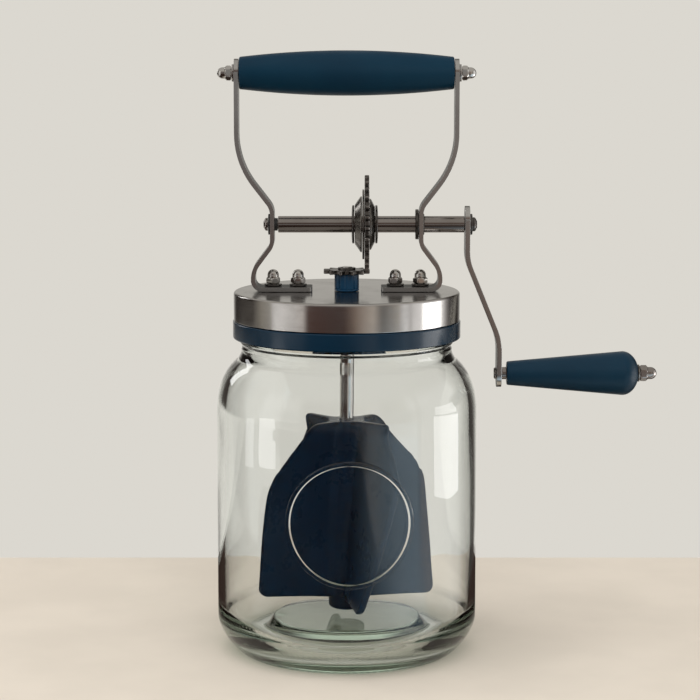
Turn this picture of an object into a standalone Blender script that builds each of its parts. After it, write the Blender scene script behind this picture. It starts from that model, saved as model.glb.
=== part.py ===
"""Butter churn with a glass jar, a steel lid and a geared hand crank.

Lengths are in metres and +Z is up. The origin lies on the jar's axis, on the
plane that the jar stands on. +X points to the crank, -Y to the side from which
the gears are seen in front of the frame. Four assemblies move: the lid with its
frame lifts off the jar, the crank turns about the shaft, the crank's grip turns
on its spindle, and the pinion turns the paddle in the jar.
"""

import math

import bmesh
import bpy
from mathutils import Vector

MM = 0.001
WELD = 0.001 * MM
FIT = 0.3 * MM          # running and seating clearance between two pieces
OVERRUN = 3.0 * MM      # how far a hole's cutter passes the wall it cuts

TURN = 2.0 * math.pi
QUARTER = math.pi / 2.0

# Facets around turned pieces
SIDES_JAR = 36
SIDES_GRIP = 24
SIDES_SHAFT = 20
SIDES_SMALL = 12
BEND_FACET = math.radians(16.0)
BAR_END_STEPS = 5
BAR_CORNER_STEPS = 2

# Jar
JAR_RADIUS = 74.0 * MM
JAR_WALL = 4.0 * MM
NECK_RADIUS = 59.3 * MM
NECK_BORE = 54.6 * MM
FINISH_RADIUS = 58.0 * MM
RIM_HEIGHT = 203.0 * MM
RIM_ROUND = 0.9 * MM
NECK_LENGTH = 32.5 * MM         # from the rim down to the shoulder
SHOULDER_DROP = 36.5 * MM
SHOULDER_HIGH = RIM_HEIGHT - NECK_LENGTH
SHOULDER_LOW = SHOULDER_HIGH - SHOULDER_DROP
SHOULDER_HANDLE_LOW = 20.0 * MM
SHOULDER_HANDLE_OUT = 4.5 * MM
SHOULDER_HANDLE_DOWN = 4.3 * MM
BEAD_BELOW_RIM = 25.2 * MM
BEAD_HEIGHT = RIM_HEIGHT - BEAD_BELOW_RIM
BEAD_RADIUS = 60.4 * MM
BEAD_HALF = 0.7 * MM
FINISH_BELOW_RIM = 22.6 * MM
FINISH_START = RIM_HEIGHT - FINISH_BELOW_RIM
HEEL_HEIGHT = 18.8 * MM
CONTACT_RADIUS = 60.2 * MM
PUSH_UP = 1.8 * MM
PUSH_UP_RADIUS = 46.0 * MM
PUSH_UP_SLOPE = 3.0 * MM
TROUGH_FLOOR = 8.0 * MM
TROUGH_RADIUS = 54.0 * MM
PLATEAU_HEIGHT = 17.0 * MM
PLATEAU_RADIUS = 42.0 * MM
PLATEAU_SLOPE = 6.0 * MM
INNER_HEEL_HEIGHT = 20.0 * MM
HEEL_FULLNESS = 1.41    # 1 is a cone, 2 an ellipse
INNER_HEEL_FULLNESS = 1.7

# Lid: steel shell, blue collar and seal
GASKET_THICK = 2.0 * MM
LID_SHEET = 0.9 * MM
LID_RADIUS = 64.0 * MM
LID_EDGE_ROUND = 1.5 * MM
LID_SHELL_DEPTH = 16.1 * MM
COLLAR_RADIUS = 64.5 * MM
COLLAR_BAND = 9.9 * MM
COLLAR_BORE = 60.2 * MM
COLLAR_EDGE_ROUND = 0.8 * MM
GASKET_WIDTH = 5.6 * MM
LID_UNDER = RIM_HEIGHT + FIT + GASKET_THICK + FIT
LID_TOP = LID_UNDER + LID_SHEET

# Gears
MODULE = 1.9 * MM
DRIVE_TEETH = 28
PINION_TEETH = 12
DRIVE_PITCH = MODULE * DRIVE_TEETH / 2.0
PINION_PITCH = MODULE * PINION_TEETH / 2.0
DRIVE_ADDENDUM = 1.1 * MM
DRIVE_DEDENDUM = 2.0 * MM
DRIVE_THICK = 2.5 * MM
DRIVE_TIP_WIDTH = 1.3 * MM
DRIVE_PITCH_WIDTH = 2.1 * MM
DRIVE_ROOT_WIDTH = 3.0 * MM
PINION_ADDENDUM = 2.0 * MM
PINION_DEDENDUM = 2.1 * MM
PINION_THICK = 2.2 * MM
PINION_TIP_WIDTH = 1.1 * MM
PINION_PITCH_WIDTH = 2.1 * MM
PINION_ROOT_WIDTH = 2.7 * MM
PINION_HUB_RADIUS = 5.0 * MM
PINION_HUB_RISE = 1.1 * MM

# Paddle shaft and its bearing in the lid
PADDLE_SHAFT_RADIUS = 4.0 * MM
PADDLE_JOURNAL_RADIUS = 3.0 * MM
JOURNAL_PROUD = 0.5 * MM
BUSH_RISE = 9.7 * MM
BUSH_RADIUS = 6.6 * MM
BUSH_FLUTES = 16
FLUTE_DEPTH = 0.6 * MM
BUSH_FLANGE_RADIUS = 7.0 * MM
BUSH_FLANGE_THICK = 1.1 * MM
BUSH_SHANK_RADIUS = 5.3 * MM
BUSH_SHANK_LENGTH = 6.2 * MM
BUSH_NUT_FLATS = 15.0 * MM
BUSH_NUT_THICK = 4.0 * MM
STOP_RING_RADIUS = 6.4 * MM
STOP_RING_THICK = 1.3 * MM

# Paddle
PADDLE_HUB_RADIUS = 10.4 * MM
PADDLE_HUB_ROUND = 2.4 * MM
PADDLE_FLOOR_GAP = 5.0 * MM
PADDLE_LENGTH = 112.5 * MM
PADDLE_SOCKET_DEPTH = 95.0 * MM
PADDLE_LOW = PLATEAU_HEIGHT + PADDLE_FLOOR_GAP
PADDLE_HIGH = PADDLE_LOW + PADDLE_LENGTH
PADDLE_SOCKET_FLOOR = PADDLE_HIGH - PADDLE_SOCKET_DEPTH
VANES = 4
VANE_FOOT_RISE = 8.0 * MM
VANE_KNEE_RISE = 70.0 * MM
VANE_KNEE_BLEND = 9.0 * MM       # height of the knee's bend on either side
VANE_CREST = 8.5 * MM           # upright end of the vanes' edge, at the top
VANE_LOW = PADDLE_LOW + VANE_FOOT_RISE
VANE_KNEE = VANE_LOW + VANE_KNEE_RISE
VANE_CREST_LOW = PADDLE_HIGH - VANE_CREST
VANE_REACH_LOW = 52.5 * MM
VANE_REACH_KNEE = 52.0 * MM
VANE_REACH_TOP = 33.0 * MM
VANE_CORNER = 6.0 * MM
VANE_TOP_CORNERS = (12.0 * MM, 3.0 * MM)   # by turns around the hub
VANE_TOP_RINGS = (4.0 * MM, 1.2 * MM, 0.0)  # below the top of the vanes
VANE_ROOT_THICK = 6.4 * MM
VANE_TIP_THICK = 4.0 * MM
VANE_TIP_BULGE = 1.0 * MM
VANE_TURN_LOW = math.radians(8.0)
VANE_TURN_HIGH = math.radians(46.0)
VANE_STEPS = 3
VANE_KNEE_STEPS = 3
VANE_SLOPE_STEPS = 2
CORNER_SHARES = (0.0, 0.12, 0.45, 1.0)
ROOT_SHARES = (-1.0, -0.6, -0.2, 0.2, 0.6, 1.0)

# Crank shaft
SHAFT_RADIUS = 4.65 * MM
SHAFT_JOURNAL_RADIUS = 2.6 * MM
PINION_MIDDLE = LID_TOP + BUSH_RISE + FIT + PINION_THICK / 2.0
SHAFT_HEIGHT = PINION_MIDDLE + DRIVE_PITCH

# Frame arms, each a bent flat bar
ARM_THICK = 2.4 * MM
ARM_WIDTH = 16.0 * MM
ARM_FOOT_START = 19.5 * MM
ARM_BULGE = 52.7 * MM
ARM_WAIST = 41.9 * MM
ARM_TOP_SPREAD = 61.7 * MM
ARM_BULGE_RISE = 10.5 * MM
ARM_WAIST_BELOW_SHAFT = 11.3 * MM
ARM_WAIST_ABOVE_SHAFT = 9.5 * MM
ARM_KNEE_ABOVE_SHAFT = 35.2 * MM
ARM_BEND_FOOT = 5.8 * MM
ARM_BEND_BULGE = 14.0 * MM
ARM_BEND_WAIST_LOW = 9.0 * MM
ARM_BEND_WAIST_HIGH = 10.0 * MM
ARM_BEND_KNEE = 52.0 * MM
ARM_FOOT_CORNER = 1.6 * MM
ARM_LINE = LID_TOP + FIT + ARM_THICK / 2.0

# Fasteners of the frame and the top grip
BOLT_RADIUS = 2.0 * MM
BOLT_HEAD_RADIUS = 3.8 * MM
BOLT_HEAD_THICK = 1.6 * MM
BOLT_SPACING = 14.1 * MM
FOOT_BOLT_INNER = 27.5 * MM
WASHER_RADIUS = 4.9 * MM
WASHER_THICK = 1.0 * MM
NUT_FLATS = 7.2 * MM
NUT_HEX = 3.4 * MM
NUT_HEIGHT = 8.0 * MM
NUT_DOME_RADIUS = 3.2 * MM
NUT_WALL = 0.9 * MM
THREAD_ENGAGE = 4.6 * MM

# Top grip
HANDLE_RISE = 84.8 * MM
HANDLE_HEIGHT = SHAFT_HEIGHT + HANDLE_RISE
HANDLE_MIDDLE_RADIUS = 12.6 * MM
HANDLE_END_RADIUS = 9.1 * MM
HANDLE_END_GAP = 0.4 * MM
HANDLE_EDGE_ROUND = 1.0 * MM
HANDLE_STEPS = 6

# Bushes of the crank shaft in the arms, and the screw at the left end
LEFT_BUSH_RADIUS = 3.6 * MM
LEFT_BUSH_PROUD = 1.8 * MM
RIGHT_BUSH_RADIUS = 5.9 * MM
RIGHT_FLANGE_RADIUS = 8.5 * MM
RIGHT_FLANGE_THICK = 1.7 * MM
RIGHT_BUSH_PROUD = 0.6 * MM
SHAFT_WASHER_RADIUS = 5.85 * MM
SHAFT_WASHER_THICK = 0.8 * MM
SHAFT_SCREW_RADIUS = 3.7 * MM
SHAFT_SCREW_HEIGHT = 2.4 * MM
SCREW_SHANK_RADIUS = 1.4 * MM
SCREW_SHANK_LENGTH = 9.0 * MM

# Discs and domes beside the drive gear
FLANGE_RADIUS = 19.7 * MM
FLANGE_THICK = 1.0 * MM
DOME_LEFT_RADIUS = 15.8 * MM
DOME_LEFT_HEIGHT = 4.0 * MM
DOME_RIGHT_RADIUS = 14.4 * MM
DOME_RIGHT_HEIGHT = 2.9 * MM
DOME_RIM = 0.8 * MM
DOME_CROWN_SHARE = 0.52
HUB_WASHER_RADIUS = 10.8 * MM
HUB_WASHER_RIM = 0.7 * MM
HUB_WASHER_HEIGHT = 1.5 * MM
HUB_WASHER_TOP = 7.0 * MM

# Crank arm, its screw, and the crank grip on its spindle
CRANK_RADIUS = 84.9 * MM
CRANK_ARM_THICK = 2.8 * MM
CRANK_ARM_WIDTH = 15.6 * MM
CRANK_ARM_INNER = 68.0 * MM
CRANK_ARM_OUTER = 86.4 * MM
CRANK_ARM_OVER_SHAFT = 10.4 * MM
CRANK_ARM_BEND_HIGH = 20.2 * MM
CRANK_ARM_BEND_LOW = 19.4 * MM
CRANK_ARM_ROUND_HIGH = 26.0 * MM
CRANK_ARM_ROUND_LOW = 34.0 * MM
CRANK_JOURNAL_RADIUS = 3.4 * MM
CRANK_WASHER_RADIUS = 5.9 * MM
CRANK_WASHER_THICK = 1.1 * MM
CRANK_SCREW_RADIUS = 4.0 * MM
CRANK_SCREW_HEIGHT = 2.4 * MM
GRIP_HEIGHT = SHAFT_HEIGHT - CRANK_RADIUS
SPINDLE_RADIUS = 2.5 * MM
SPINDLE_HEAD_RADIUS = 3.3 * MM
SPINDLE_HEAD_THICK = 1.1 * MM
GRIP_COLLAR_RADIUS = 3.5 * MM
GRIP_COLLAR_LENGTH = 2.5 * MM
GRIP_LENGTH = 74.4 * MM
GRIP_START_RADIUS = 6.8 * MM
GRIP_MAX_RADIUS = 12.5 * MM
GRIP_DOME_LENGTH = 8.6 * MM
GRIP_END_RADIUS = 5.0 * MM
GRIP_EDGE_ROUND = 0.9 * MM
GRIP_STEPS = 5
GRIP_WASHER_RADIUS = 4.9 * MM
GRIP_WASHER_THICK = 0.8 * MM
GRIP_NUT_FLATS = 8.0 * MM
GRIP_NUT_HEX = 4.2 * MM
GRIP_NUT_HEIGHT = 9.6 * MM
GRIP_NUT_DOME_RADIUS = 3.5 * MM

# Colour, roughness and metallic value of each finish
FINISHES = {
    "clear_glass": ((0.80, 0.88, 0.84, 1.0), 0.03, 0.0),
    "brushed_steel": ((0.60, 0.59, 0.57, 1.0), 0.32, 1.0),
    "polished_steel": ((0.66, 0.65, 0.63, 1.0), 0.12, 1.0),
    "dark_steel": ((0.17, 0.16, 0.15, 1.0), 0.38, 1.0),
    "black_plastic": ((0.02, 0.02, 0.02, 1.0), 0.45, 0.0),
    "blue_grip": ((0.022, 0.075, 0.130, 1.0), 0.35, 0.0),
    "blue_collar": ((0.055, 0.150, 0.260, 1.0), 0.30, 0.0),
    "blue_silicone": ((0.030, 0.080, 0.180, 1.0), 0.50, 0.0),
    "seal_rubber": ((0.75, 0.76, 0.74, 1.0), 0.60, 0.0),
}


def clear_scene():
    """Remove every object that the file held before."""
    for old in list(bpy.data.objects):
        bpy.data.objects.remove(old, do_unlink=True)


def finish_material(name):
    """Give the Principled material of one finish, made once."""
    known = bpy.data.materials.get(name)
    if known:
        return known
    colour, roughness, metallic = FINISHES[name]
    material = bpy.data.materials.new(name)
    material.use_nodes = True
    shader = material.node_tree.nodes["Principled BSDF"]
    shader.inputs["Base Color"].default_value = colour
    shader.inputs["Roughness"].default_value = roughness
    shader.inputs["Metallic"].default_value = metallic
    return material


def empty(name, location, parent=None):
    """Add an empty that carries the pieces of one assembly."""
    holder = bpy.data.objects.new(name, None)
    holder.location = location
    holder.parent = parent
    bpy.context.collection.objects.link(holder)
    return holder


def place(bm, name, finish, parent, location=(0.0, 0.0, 0.0), rotation=(0.0, 0.0, 0.0)):
    """Turn a bmesh into a named object, shaded smooth, on its assembly's empty."""
    bmesh.ops.remove_doubles(bm, verts=bm.verts, dist=WELD)
    bmesh.ops.recalc_face_normals(bm, faces=bm.faces)
    mesh = bpy.data.meshes.new(name)
    bm.to_mesh(mesh)
    bm.free()
    mesh.shade_smooth()
    mesh.set_sharp_from_angle(angle=math.radians(35.0))
    mesh.materials.append(finish_material(finish))
    piece = bpy.data.objects.new(name, mesh)
    piece.parent = parent
    piece.location = location
    piece.rotation_euler = rotation
    bpy.context.collection.objects.link(piece)
    return piece


ALONG_X = (0.0, QUARTER, 0.0)
ALONG_MINUS_X = (0.0, -QUARTER, 0.0)


def turned(outline, sides, ring=True):
    """Revolve an outline of (radius, height) points about Z.

    A ring's outline is closed. Any other outline runs from the axis to the axis.
    """
    bm = bmesh.new()
    verts = [bm.verts.new((radius, 0.0, height)) for radius, height in outline]
    edges = [bm.edges.new(pair) for pair in zip(verts, verts[1:])]
    if ring:
        edges.append(bm.edges.new((verts[-1], verts[0])))
    bmesh.ops.spin(
        bm, geom=verts + edges, cent=(0.0, 0.0, 0.0), axis=(0.0, 0.0, 1.0),
        dvec=(0.0, 0.0, 0.0), angle=TURN, steps=sides, use_merge=True,
    )
    return bm


def edge_loop(bm, verts):
    """The closed loop of edges through some vertices."""
    pairs = zip(verts, verts[1:] + verts[:1])
    return [bm.edges.get(pair) or bm.edges.new(pair) for pair in pairs]


def lofted(rings, ring_shaped=False):
    """Bridge rings of points in their order.

    The ends are capped, or joined where the body is a ring. Two rings of unequal
    count lie in one plane, and the flat between them is filled with triangles.
    """
    bm = bmesh.new()
    loops = [[bm.verts.new(point) for point in ring] for ring in rings]
    pairs = list(zip(loops, loops[1:]))
    if ring_shaped:
        pairs.append((loops[-1], loops[0]))
    for low, high in pairs:
        if len(low) != len(high):
            edges = edge_loop(bm, low) + edge_loop(bm, high)
            bmesh.ops.triangle_fill(bm, edges=edges, use_beauty=True)
            continue
        for i in range(len(low)):
            j = (i + 1) % len(low)
            bm.faces.new((low[i], low[j], high[j], high[i]))
    if not ring_shaped:
        bm.faces.new(loops[0])
        bm.faces.new(loops[-1])
    return bm


def plate(outlines, thickness):
    """Extrude a flat shape from Z = 0 up. The first outline is its edge, the rest are holes."""
    bm = bmesh.new()
    edges = []
    for outline in outlines:
        verts = [bm.verts.new((x, y, 0.0)) for x, y in outline]
        edges += [bm.edges.new((a, b)) for a, b in zip(verts, verts[1:] + verts[:1])]
    filled = bmesh.ops.triangle_fill(bm, edges=edges, use_beauty=True)
    faces = [item for item in filled["geom"] if isinstance(item, bmesh.types.BMFace)]
    raised = bmesh.ops.extrude_face_region(bm, geom=faces)
    moved = [item for item in raised["geom"] if isinstance(item, bmesh.types.BMVert)]
    bmesh.ops.translate(bm, verts=moved, vec=(0.0, 0.0, thickness))
    return bm


def circle(radius, sides, height=None, phase=0.0):
    """Points around a circle, flat or at a height."""
    points = []
    for i in range(sides):
        angle = phase + TURN * i / sides
        point = (radius * math.cos(angle), radius * math.sin(angle))
        points.append(point if height is None else point + (height,))
    return points


def hexagon(flats, height):
    """Corners of a hexagon, given across its flats, at a height."""
    return circle(flats / 2.0 / math.cos(TURN / 12.0), 6, height, TURN / 12.0)


def bezier(start, handle_a, handle_b, end, steps):
    """Points along one cubic curve, without its first point."""
    points = []
    for i in range(1, steps + 1):
        t = i / steps
        weights = ((1 - t) ** 3, 3 * t * (1 - t) ** 2, 3 * t * t * (1 - t), t ** 3)
        corners = (start, handle_a, handle_b, end)
        points.append(tuple(sum(w * c[k] for w, c in zip(weights, corners)) for k in (0, 1)))
    return points


def rounded_path(corners, radii):
    """Round the inner corners of an open path with arcs of the given radii."""
    points = [Vector(corners[0])]
    for before, corner, after, radius in zip(corners, corners[1:], corners[2:], radii):
        corner = Vector(corner)
        back = (Vector(before) - corner).normalized()
        ahead = (Vector(after) - corner).normalized()
        half = math.acos(max(-1.0, min(1.0, back.dot(ahead)))) / 2.0
        centre = corner + (back + ahead).normalized() * (radius / math.sin(half))
        start = corner + back * (radius / math.tan(half)) - centre
        sweep = math.pi - 2.0 * half
        turn = 1.0 if back.x * ahead.y - back.y * ahead.x < 0.0 else -1.0
        steps = math.ceil(sweep / BEND_FACET)
        for i in range(steps + 1):
            angle = turn * sweep * i / steps
            spun = Vector((
                start.x * math.cos(angle) - start.y * math.sin(angle),
                start.x * math.sin(angle) + start.y * math.cos(angle),
            ))
            points.append(centre + spun)
    points.append(Vector(corners[-1]))
    return points


def end_stations(half, corner, steps):
    """Distance from a bar's end and half width there, for the given corner radius."""
    first = 0 if corner < half else 1
    stations = []
    for i in range(first, steps + 1):
        angle = QUARTER * i / steps
        stations.append((corner - corner * math.cos(angle), half - corner + corner * math.sin(angle)))
    return stations


def bent_bar(path, width, thickness, start_corner=None):
    """Sweep a flat bar along a path in the XZ plane. Its ends are round or cornered."""
    lengths = [0.0]
    for a, b in zip(path, path[1:]):
        lengths.append(lengths[-1] + (b - a).length)
    half = width / 2.0
    ends = end_stations(half, half, BAR_END_STEPS)
    starts = ends
    if start_corner:
        starts = end_stations(half, start_corner, BAR_CORNER_STEPS)
    stations = list(starts)
    stations += [(s, half) for s in lengths if starts[-1][0] < s < lengths[-1] - half]
    stations += [(lengths[-1] - s, h) for s, h in reversed(ends)]

    def at(s):
        for i in range(len(path) - 1):
            if s <= lengths[i + 1] or i == len(path) - 2:
                run = path[i + 1] - path[i]
                share = (s - lengths[i]) / run.length
                return path[i] + run * share, run.normalized()

    rings = []
    for s, reach in stations:
        point, along = at(s)
        later = at(min(s + WELD, lengths[-1]))[1]
        normal = Vector((-along.y - later.y, along.x + later.x)).normalized()
        mitre = thickness / 2.0 / max(0.5, normal.dot(Vector((-along.y, along.x))))
        a = point + normal * mitre
        b = point - normal * mitre
        rings.append([(a.x, -reach, a.y), (a.x, reach, a.y), (b.x, reach, b.y), (b.x, -reach, b.y)])
    return lofted(rings)


def cut_round_hole(piece, name, radius, length, centre, along="Z", sides=SIDES_SMALL):
    """Cut one round hole into a piece with a hidden cutter."""
    phase = TURN / sides / 2.0
    ends = [circle(radius, sides, side * length / 2.0, phase) for side in (-1.0, 1.0)]
    bm = lofted(ends)
    turn = {"Z": (0.0, 0.0, 0.0), "X": ALONG_X}[along]
    cutter = place(bm, name, "black_plastic", piece.parent, centre, turn)
    cutter.hide_render = True
    cutter.display_type = "WIRE"
    cut = piece.modifiers.new(name, "BOOLEAN")
    cut.operation = "DIFFERENCE"
    cut.object = cutter
    cut.solver = "EXACT"


def acorn_nut(flats, hex_height, height, dome_radius, bore, bore_depth):
    """Domed nut that opens at Z = 0 and closes upwards."""
    rings = [
        circle(bore, SIDES_SMALL, bore_depth),
        circle(bore, SIDES_SMALL, 0.0),
        hexagon(flats, 0.0),
        hexagon(flats, hex_height),
    ]
    dome_straight = height - dome_radius
    rings.append(circle(dome_radius, SIDES_SMALL, hex_height))
    for angle in (0.0, QUARTER / 2.0):
        rings.append(circle(
            dome_radius * math.cos(angle), SIDES_SMALL,
            dome_straight + dome_radius * math.sin(angle),
        ))
    rings.append(circle(dome_radius * math.sin(QUARTER / 6.0), SIDES_SMALL, height))
    return lofted(rings)


def washer(radius, bore, thickness, sides=SIDES_SHAFT):
    """Flat washer from Z = 0 up."""
    return plate([circle(radius, sides), circle(bore, sides)], thickness)


def domed_screw(head_radius, head_height, shank_radius, shank_length):
    """Screw whose domed head stands on Z = 0 and whose shank points down."""
    outline = [(0.0, -shank_length), (shank_radius, -shank_length), (shank_radius, 0.0)]
    outline.append((head_radius, 0.0))
    for i in range(4):
        angle = QUARTER * i / 4.0
        outline.append((
            head_radius * math.cos(angle),
            head_height * (0.3 + 0.7 * math.sin(angle)),
        ))
    outline.append((0.0, head_height))
    return turned(outline, SIDES_SMALL, ring=False)


def gear_outline(teeth, pitch, addendum, dedendum, widths, phase):
    """Edge of a gear with straight-sided teeth, given their widths from tip to root."""
    tip_width, pitch_width, root_width = widths
    flank = (
        (pitch - dedendum, root_width),
        (pitch, pitch_width),
        (pitch + addendum, tip_width),
    )
    points = []
    for tooth in range(teeth):
        middle = phase + TURN * tooth / teeth
        for side, steps in ((-1.0, flank), (1.0, flank[::-1])):
            for radius, width in steps:
                angle = middle + side * math.asin(width / 2.0 / radius)
                points.append((radius * math.cos(angle), radius * math.sin(angle)))
    return points


def superellipse(centre, reach, drop, fullness, steps):
    """Points from straight below the centre to straight out from it, along a heel."""
    points = []
    for i in range(steps + 1):
        angle = QUARTER * i / steps
        points.append((
            centre[0] + reach * math.sin(angle) ** (2.0 / fullness),
            centre[1] - drop * math.cos(angle) ** (2.0 / fullness),
        ))
    return points


def jar_outline():
    """Outer wall from the foot up, over the rim, and the inner wall down to the floor."""
    inner = JAR_RADIUS - JAR_WALL
    outer_wall = [
        (0.0, PUSH_UP),
        (PUSH_UP_RADIUS, PUSH_UP),
        (PUSH_UP_RADIUS + PUSH_UP_SLOPE, 0.0),
    ]
    outer_wall += superellipse(
        (CONTACT_RADIUS, HEEL_HEIGHT), JAR_RADIUS - CONTACT_RADIUS, HEEL_HEIGHT,
        HEEL_FULLNESS, 5,
    )
    outer_wall.append((JAR_RADIUS, SHOULDER_LOW))
    outer_wall += bezier(
        (JAR_RADIUS, SHOULDER_LOW),
        (JAR_RADIUS, SHOULDER_LOW + SHOULDER_HANDLE_LOW),
        (NECK_RADIUS + SHOULDER_HANDLE_OUT, SHOULDER_HIGH - SHOULDER_HANDLE_DOWN),
        (NECK_RADIUS, SHOULDER_HIGH), 6,
    )
    outer_wall += [
        (NECK_RADIUS, BEAD_HEIGHT - 2.0 * BEAD_HALF),
        (BEAD_RADIUS, BEAD_HEIGHT - BEAD_HALF),
        (BEAD_RADIUS, BEAD_HEIGHT + BEAD_HALF),
        (FINISH_RADIUS, FINISH_START),
        (FINISH_RADIUS, RIM_HEIGHT - RIM_ROUND),
        (FINISH_RADIUS - RIM_ROUND, RIM_HEIGHT),
    ]
    inner_wall = [
        (NECK_BORE + RIM_ROUND, RIM_HEIGHT),
        (NECK_BORE, RIM_HEIGHT - RIM_ROUND),
        (NECK_BORE, SHOULDER_HIGH),
    ]
    inner_wall += bezier(
        (NECK_BORE, SHOULDER_HIGH),
        (NECK_BORE + SHOULDER_HANDLE_OUT, SHOULDER_HIGH - SHOULDER_HANDLE_DOWN),
        (inner, SHOULDER_LOW + SHOULDER_HANDLE_LOW),
        (inner, SHOULDER_LOW), 5,
    )
    trough = superellipse(
        (TROUGH_RADIUS, TROUGH_FLOOR + INNER_HEEL_HEIGHT), inner - TROUGH_RADIUS,
        INNER_HEEL_HEIGHT, INNER_HEEL_FULLNESS, 4,
    )
    inner_wall += trough[::-1]
    inner_wall += [
        (PLATEAU_RADIUS + PLATEAU_SLOPE, TROUGH_FLOOR),
        (PLATEAU_RADIUS, PLATEAU_HEIGHT),
        (0.0, PLATEAU_HEIGHT),
    ]
    return outer_wall + inner_wall


def build_jar(churn):
    """The glass jar, with its neck bead, heel, push-up and raised floor."""
    place(turned(jar_outline(), SIDES_JAR, ring=False), "glass_jar", "clear_glass", churn)


def build_lid(lid):
    """Steel shell with its holes, blue threaded collar, and the seal on the rim."""
    inner = LID_RADIUS - LID_SHEET
    skirt = LID_TOP - LID_SHELL_DEPTH
    rounding = [
        (LID_RADIUS - LID_EDGE_ROUND + LID_EDGE_ROUND * math.cos(a),
         LID_TOP - LID_EDGE_ROUND + LID_EDGE_ROUND * math.sin(a))
        for a in (0.0, QUARTER / 2.0, QUARTER)
    ]
    hole = BUSH_SHANK_RADIUS + FIT
    outline = [(hole, LID_UNDER), (inner, LID_UNDER), (inner, skirt), (LID_RADIUS, skirt)]
    outline += rounding
    outline.append((hole, LID_TOP))
    shell = place(turned(outline, SIDES_JAR), "lid_shell", "brushed_steel", lid)
    for side, hand in ((-1, "left"), (1, "right")):
        for i in range(2):
            reach = side * (FOOT_BOLT_INNER + i * BOLT_SPACING)
            cut_round_hole(shell, "lid_hole_%s_%d" % (hand, i + 1), BOLT_RADIUS + FIT,
                           LID_SHEET + OVERRUN, (reach, 0.0, LID_TOP - LID_SHEET / 2.0))

    band_top = skirt - FIT
    band_low = band_top - COLLAR_BAND
    liner = inner - FIT
    collar = [
        (COLLAR_BORE, band_low), (COLLAR_RADIUS - COLLAR_EDGE_ROUND, band_low),
        (COLLAR_RADIUS, band_low + COLLAR_EDGE_ROUND),
        (COLLAR_RADIUS, band_top - COLLAR_EDGE_ROUND),
        (COLLAR_RADIUS - COLLAR_EDGE_ROUND, band_top),
        (liner, band_top), (liner, LID_UNDER - FIT), (COLLAR_BORE, LID_UNDER - FIT),
    ]
    place(turned(collar, SIDES_JAR), "lid_collar", "blue_collar", lid)

    seal_outer = COLLAR_BORE - FIT
    seal = [
        (seal_outer - GASKET_WIDTH, RIM_HEIGHT + FIT), (seal_outer, RIM_HEIGHT + FIT),
        (seal_outer, LID_UNDER - FIT), (seal_outer - GASKET_WIDTH, LID_UNDER - FIT),
    ]
    place(turned(seal, SIDES_JAR), "lid_gasket", "seal_rubber", lid)


def fluted(radius, depth, flutes, height):
    """Ring of points that alternate between crest and groove."""
    sides = 2 * flutes
    points = []
    for i in range(sides):
        reach = radius if i % 2 == 0 else radius - depth
        angle = TURN * i / sides
        points.append((reach * math.cos(angle), reach * math.sin(angle), height))
    return points


def build_bush(lid):
    """Fluted bush through the lid, and the nut that holds it from below."""
    sides = SIDES_SHAFT
    bore = PADDLE_SHAFT_RADIUS + FIT
    seat = LID_TOP + FIT
    low = LID_UNDER - BUSH_SHANK_LENGTH
    top = LID_TOP + BUSH_RISE
    rings = [
        circle(bore, sides, low),
        circle(BUSH_SHANK_RADIUS, sides, low),
        circle(BUSH_SHANK_RADIUS, sides, seat),
        circle(BUSH_FLANGE_RADIUS, sides, seat),
        circle(BUSH_FLANGE_RADIUS, sides, seat + BUSH_FLANGE_THICK),
        fluted(BUSH_RADIUS, FLUTE_DEPTH, BUSH_FLUTES, seat + BUSH_FLANGE_THICK),
        fluted(BUSH_RADIUS, FLUTE_DEPTH, BUSH_FLUTES, top),
        circle(bore, sides, top),
    ]
    place(lofted(rings, ring_shaped=True), "shaft_bush", "blue_collar", lid)

    nut_low = LID_UNDER - FIT - BUSH_NUT_THICK
    nut_bore = BUSH_SHANK_RADIUS + FIT
    nut = lofted([
        circle(nut_bore, SIDES_SHAFT, nut_low),
        hexagon(BUSH_NUT_FLATS, nut_low),
        hexagon(BUSH_NUT_FLATS, nut_low + BUSH_NUT_THICK),
        circle(nut_bore, SIDES_SHAFT, nut_low + BUSH_NUT_THICK),
    ], ring_shaped=True)
    place(nut, "bush_nut", "brushed_steel", lid)


def frame_arm_path():
    """Centre line of the right arm in X and Z, from its foot to its top."""
    bulge_top = ARM_LINE + ARM_BULGE_RISE
    corners = [
        (ARM_FOOT_START, ARM_LINE),
        (ARM_BULGE, ARM_LINE),
        (ARM_BULGE, bulge_top),
        (ARM_WAIST, SHAFT_HEIGHT - ARM_WAIST_BELOW_SHAFT),
        (ARM_WAIST, SHAFT_HEIGHT + ARM_WAIST_ABOVE_SHAFT),
        (ARM_TOP_SPREAD, SHAFT_HEIGHT + ARM_KNEE_ABOVE_SHAFT),
        (ARM_TOP_SPREAD, HANDLE_HEIGHT + ARM_WIDTH / 2.0),
    ]
    radii = [
        ARM_BEND_FOOT, ARM_BEND_BULGE, ARM_BEND_WAIST_LOW, ARM_BEND_WAIST_HIGH,
        ARM_BEND_KNEE,
    ]
    return rounded_path(corners, radii)


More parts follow.
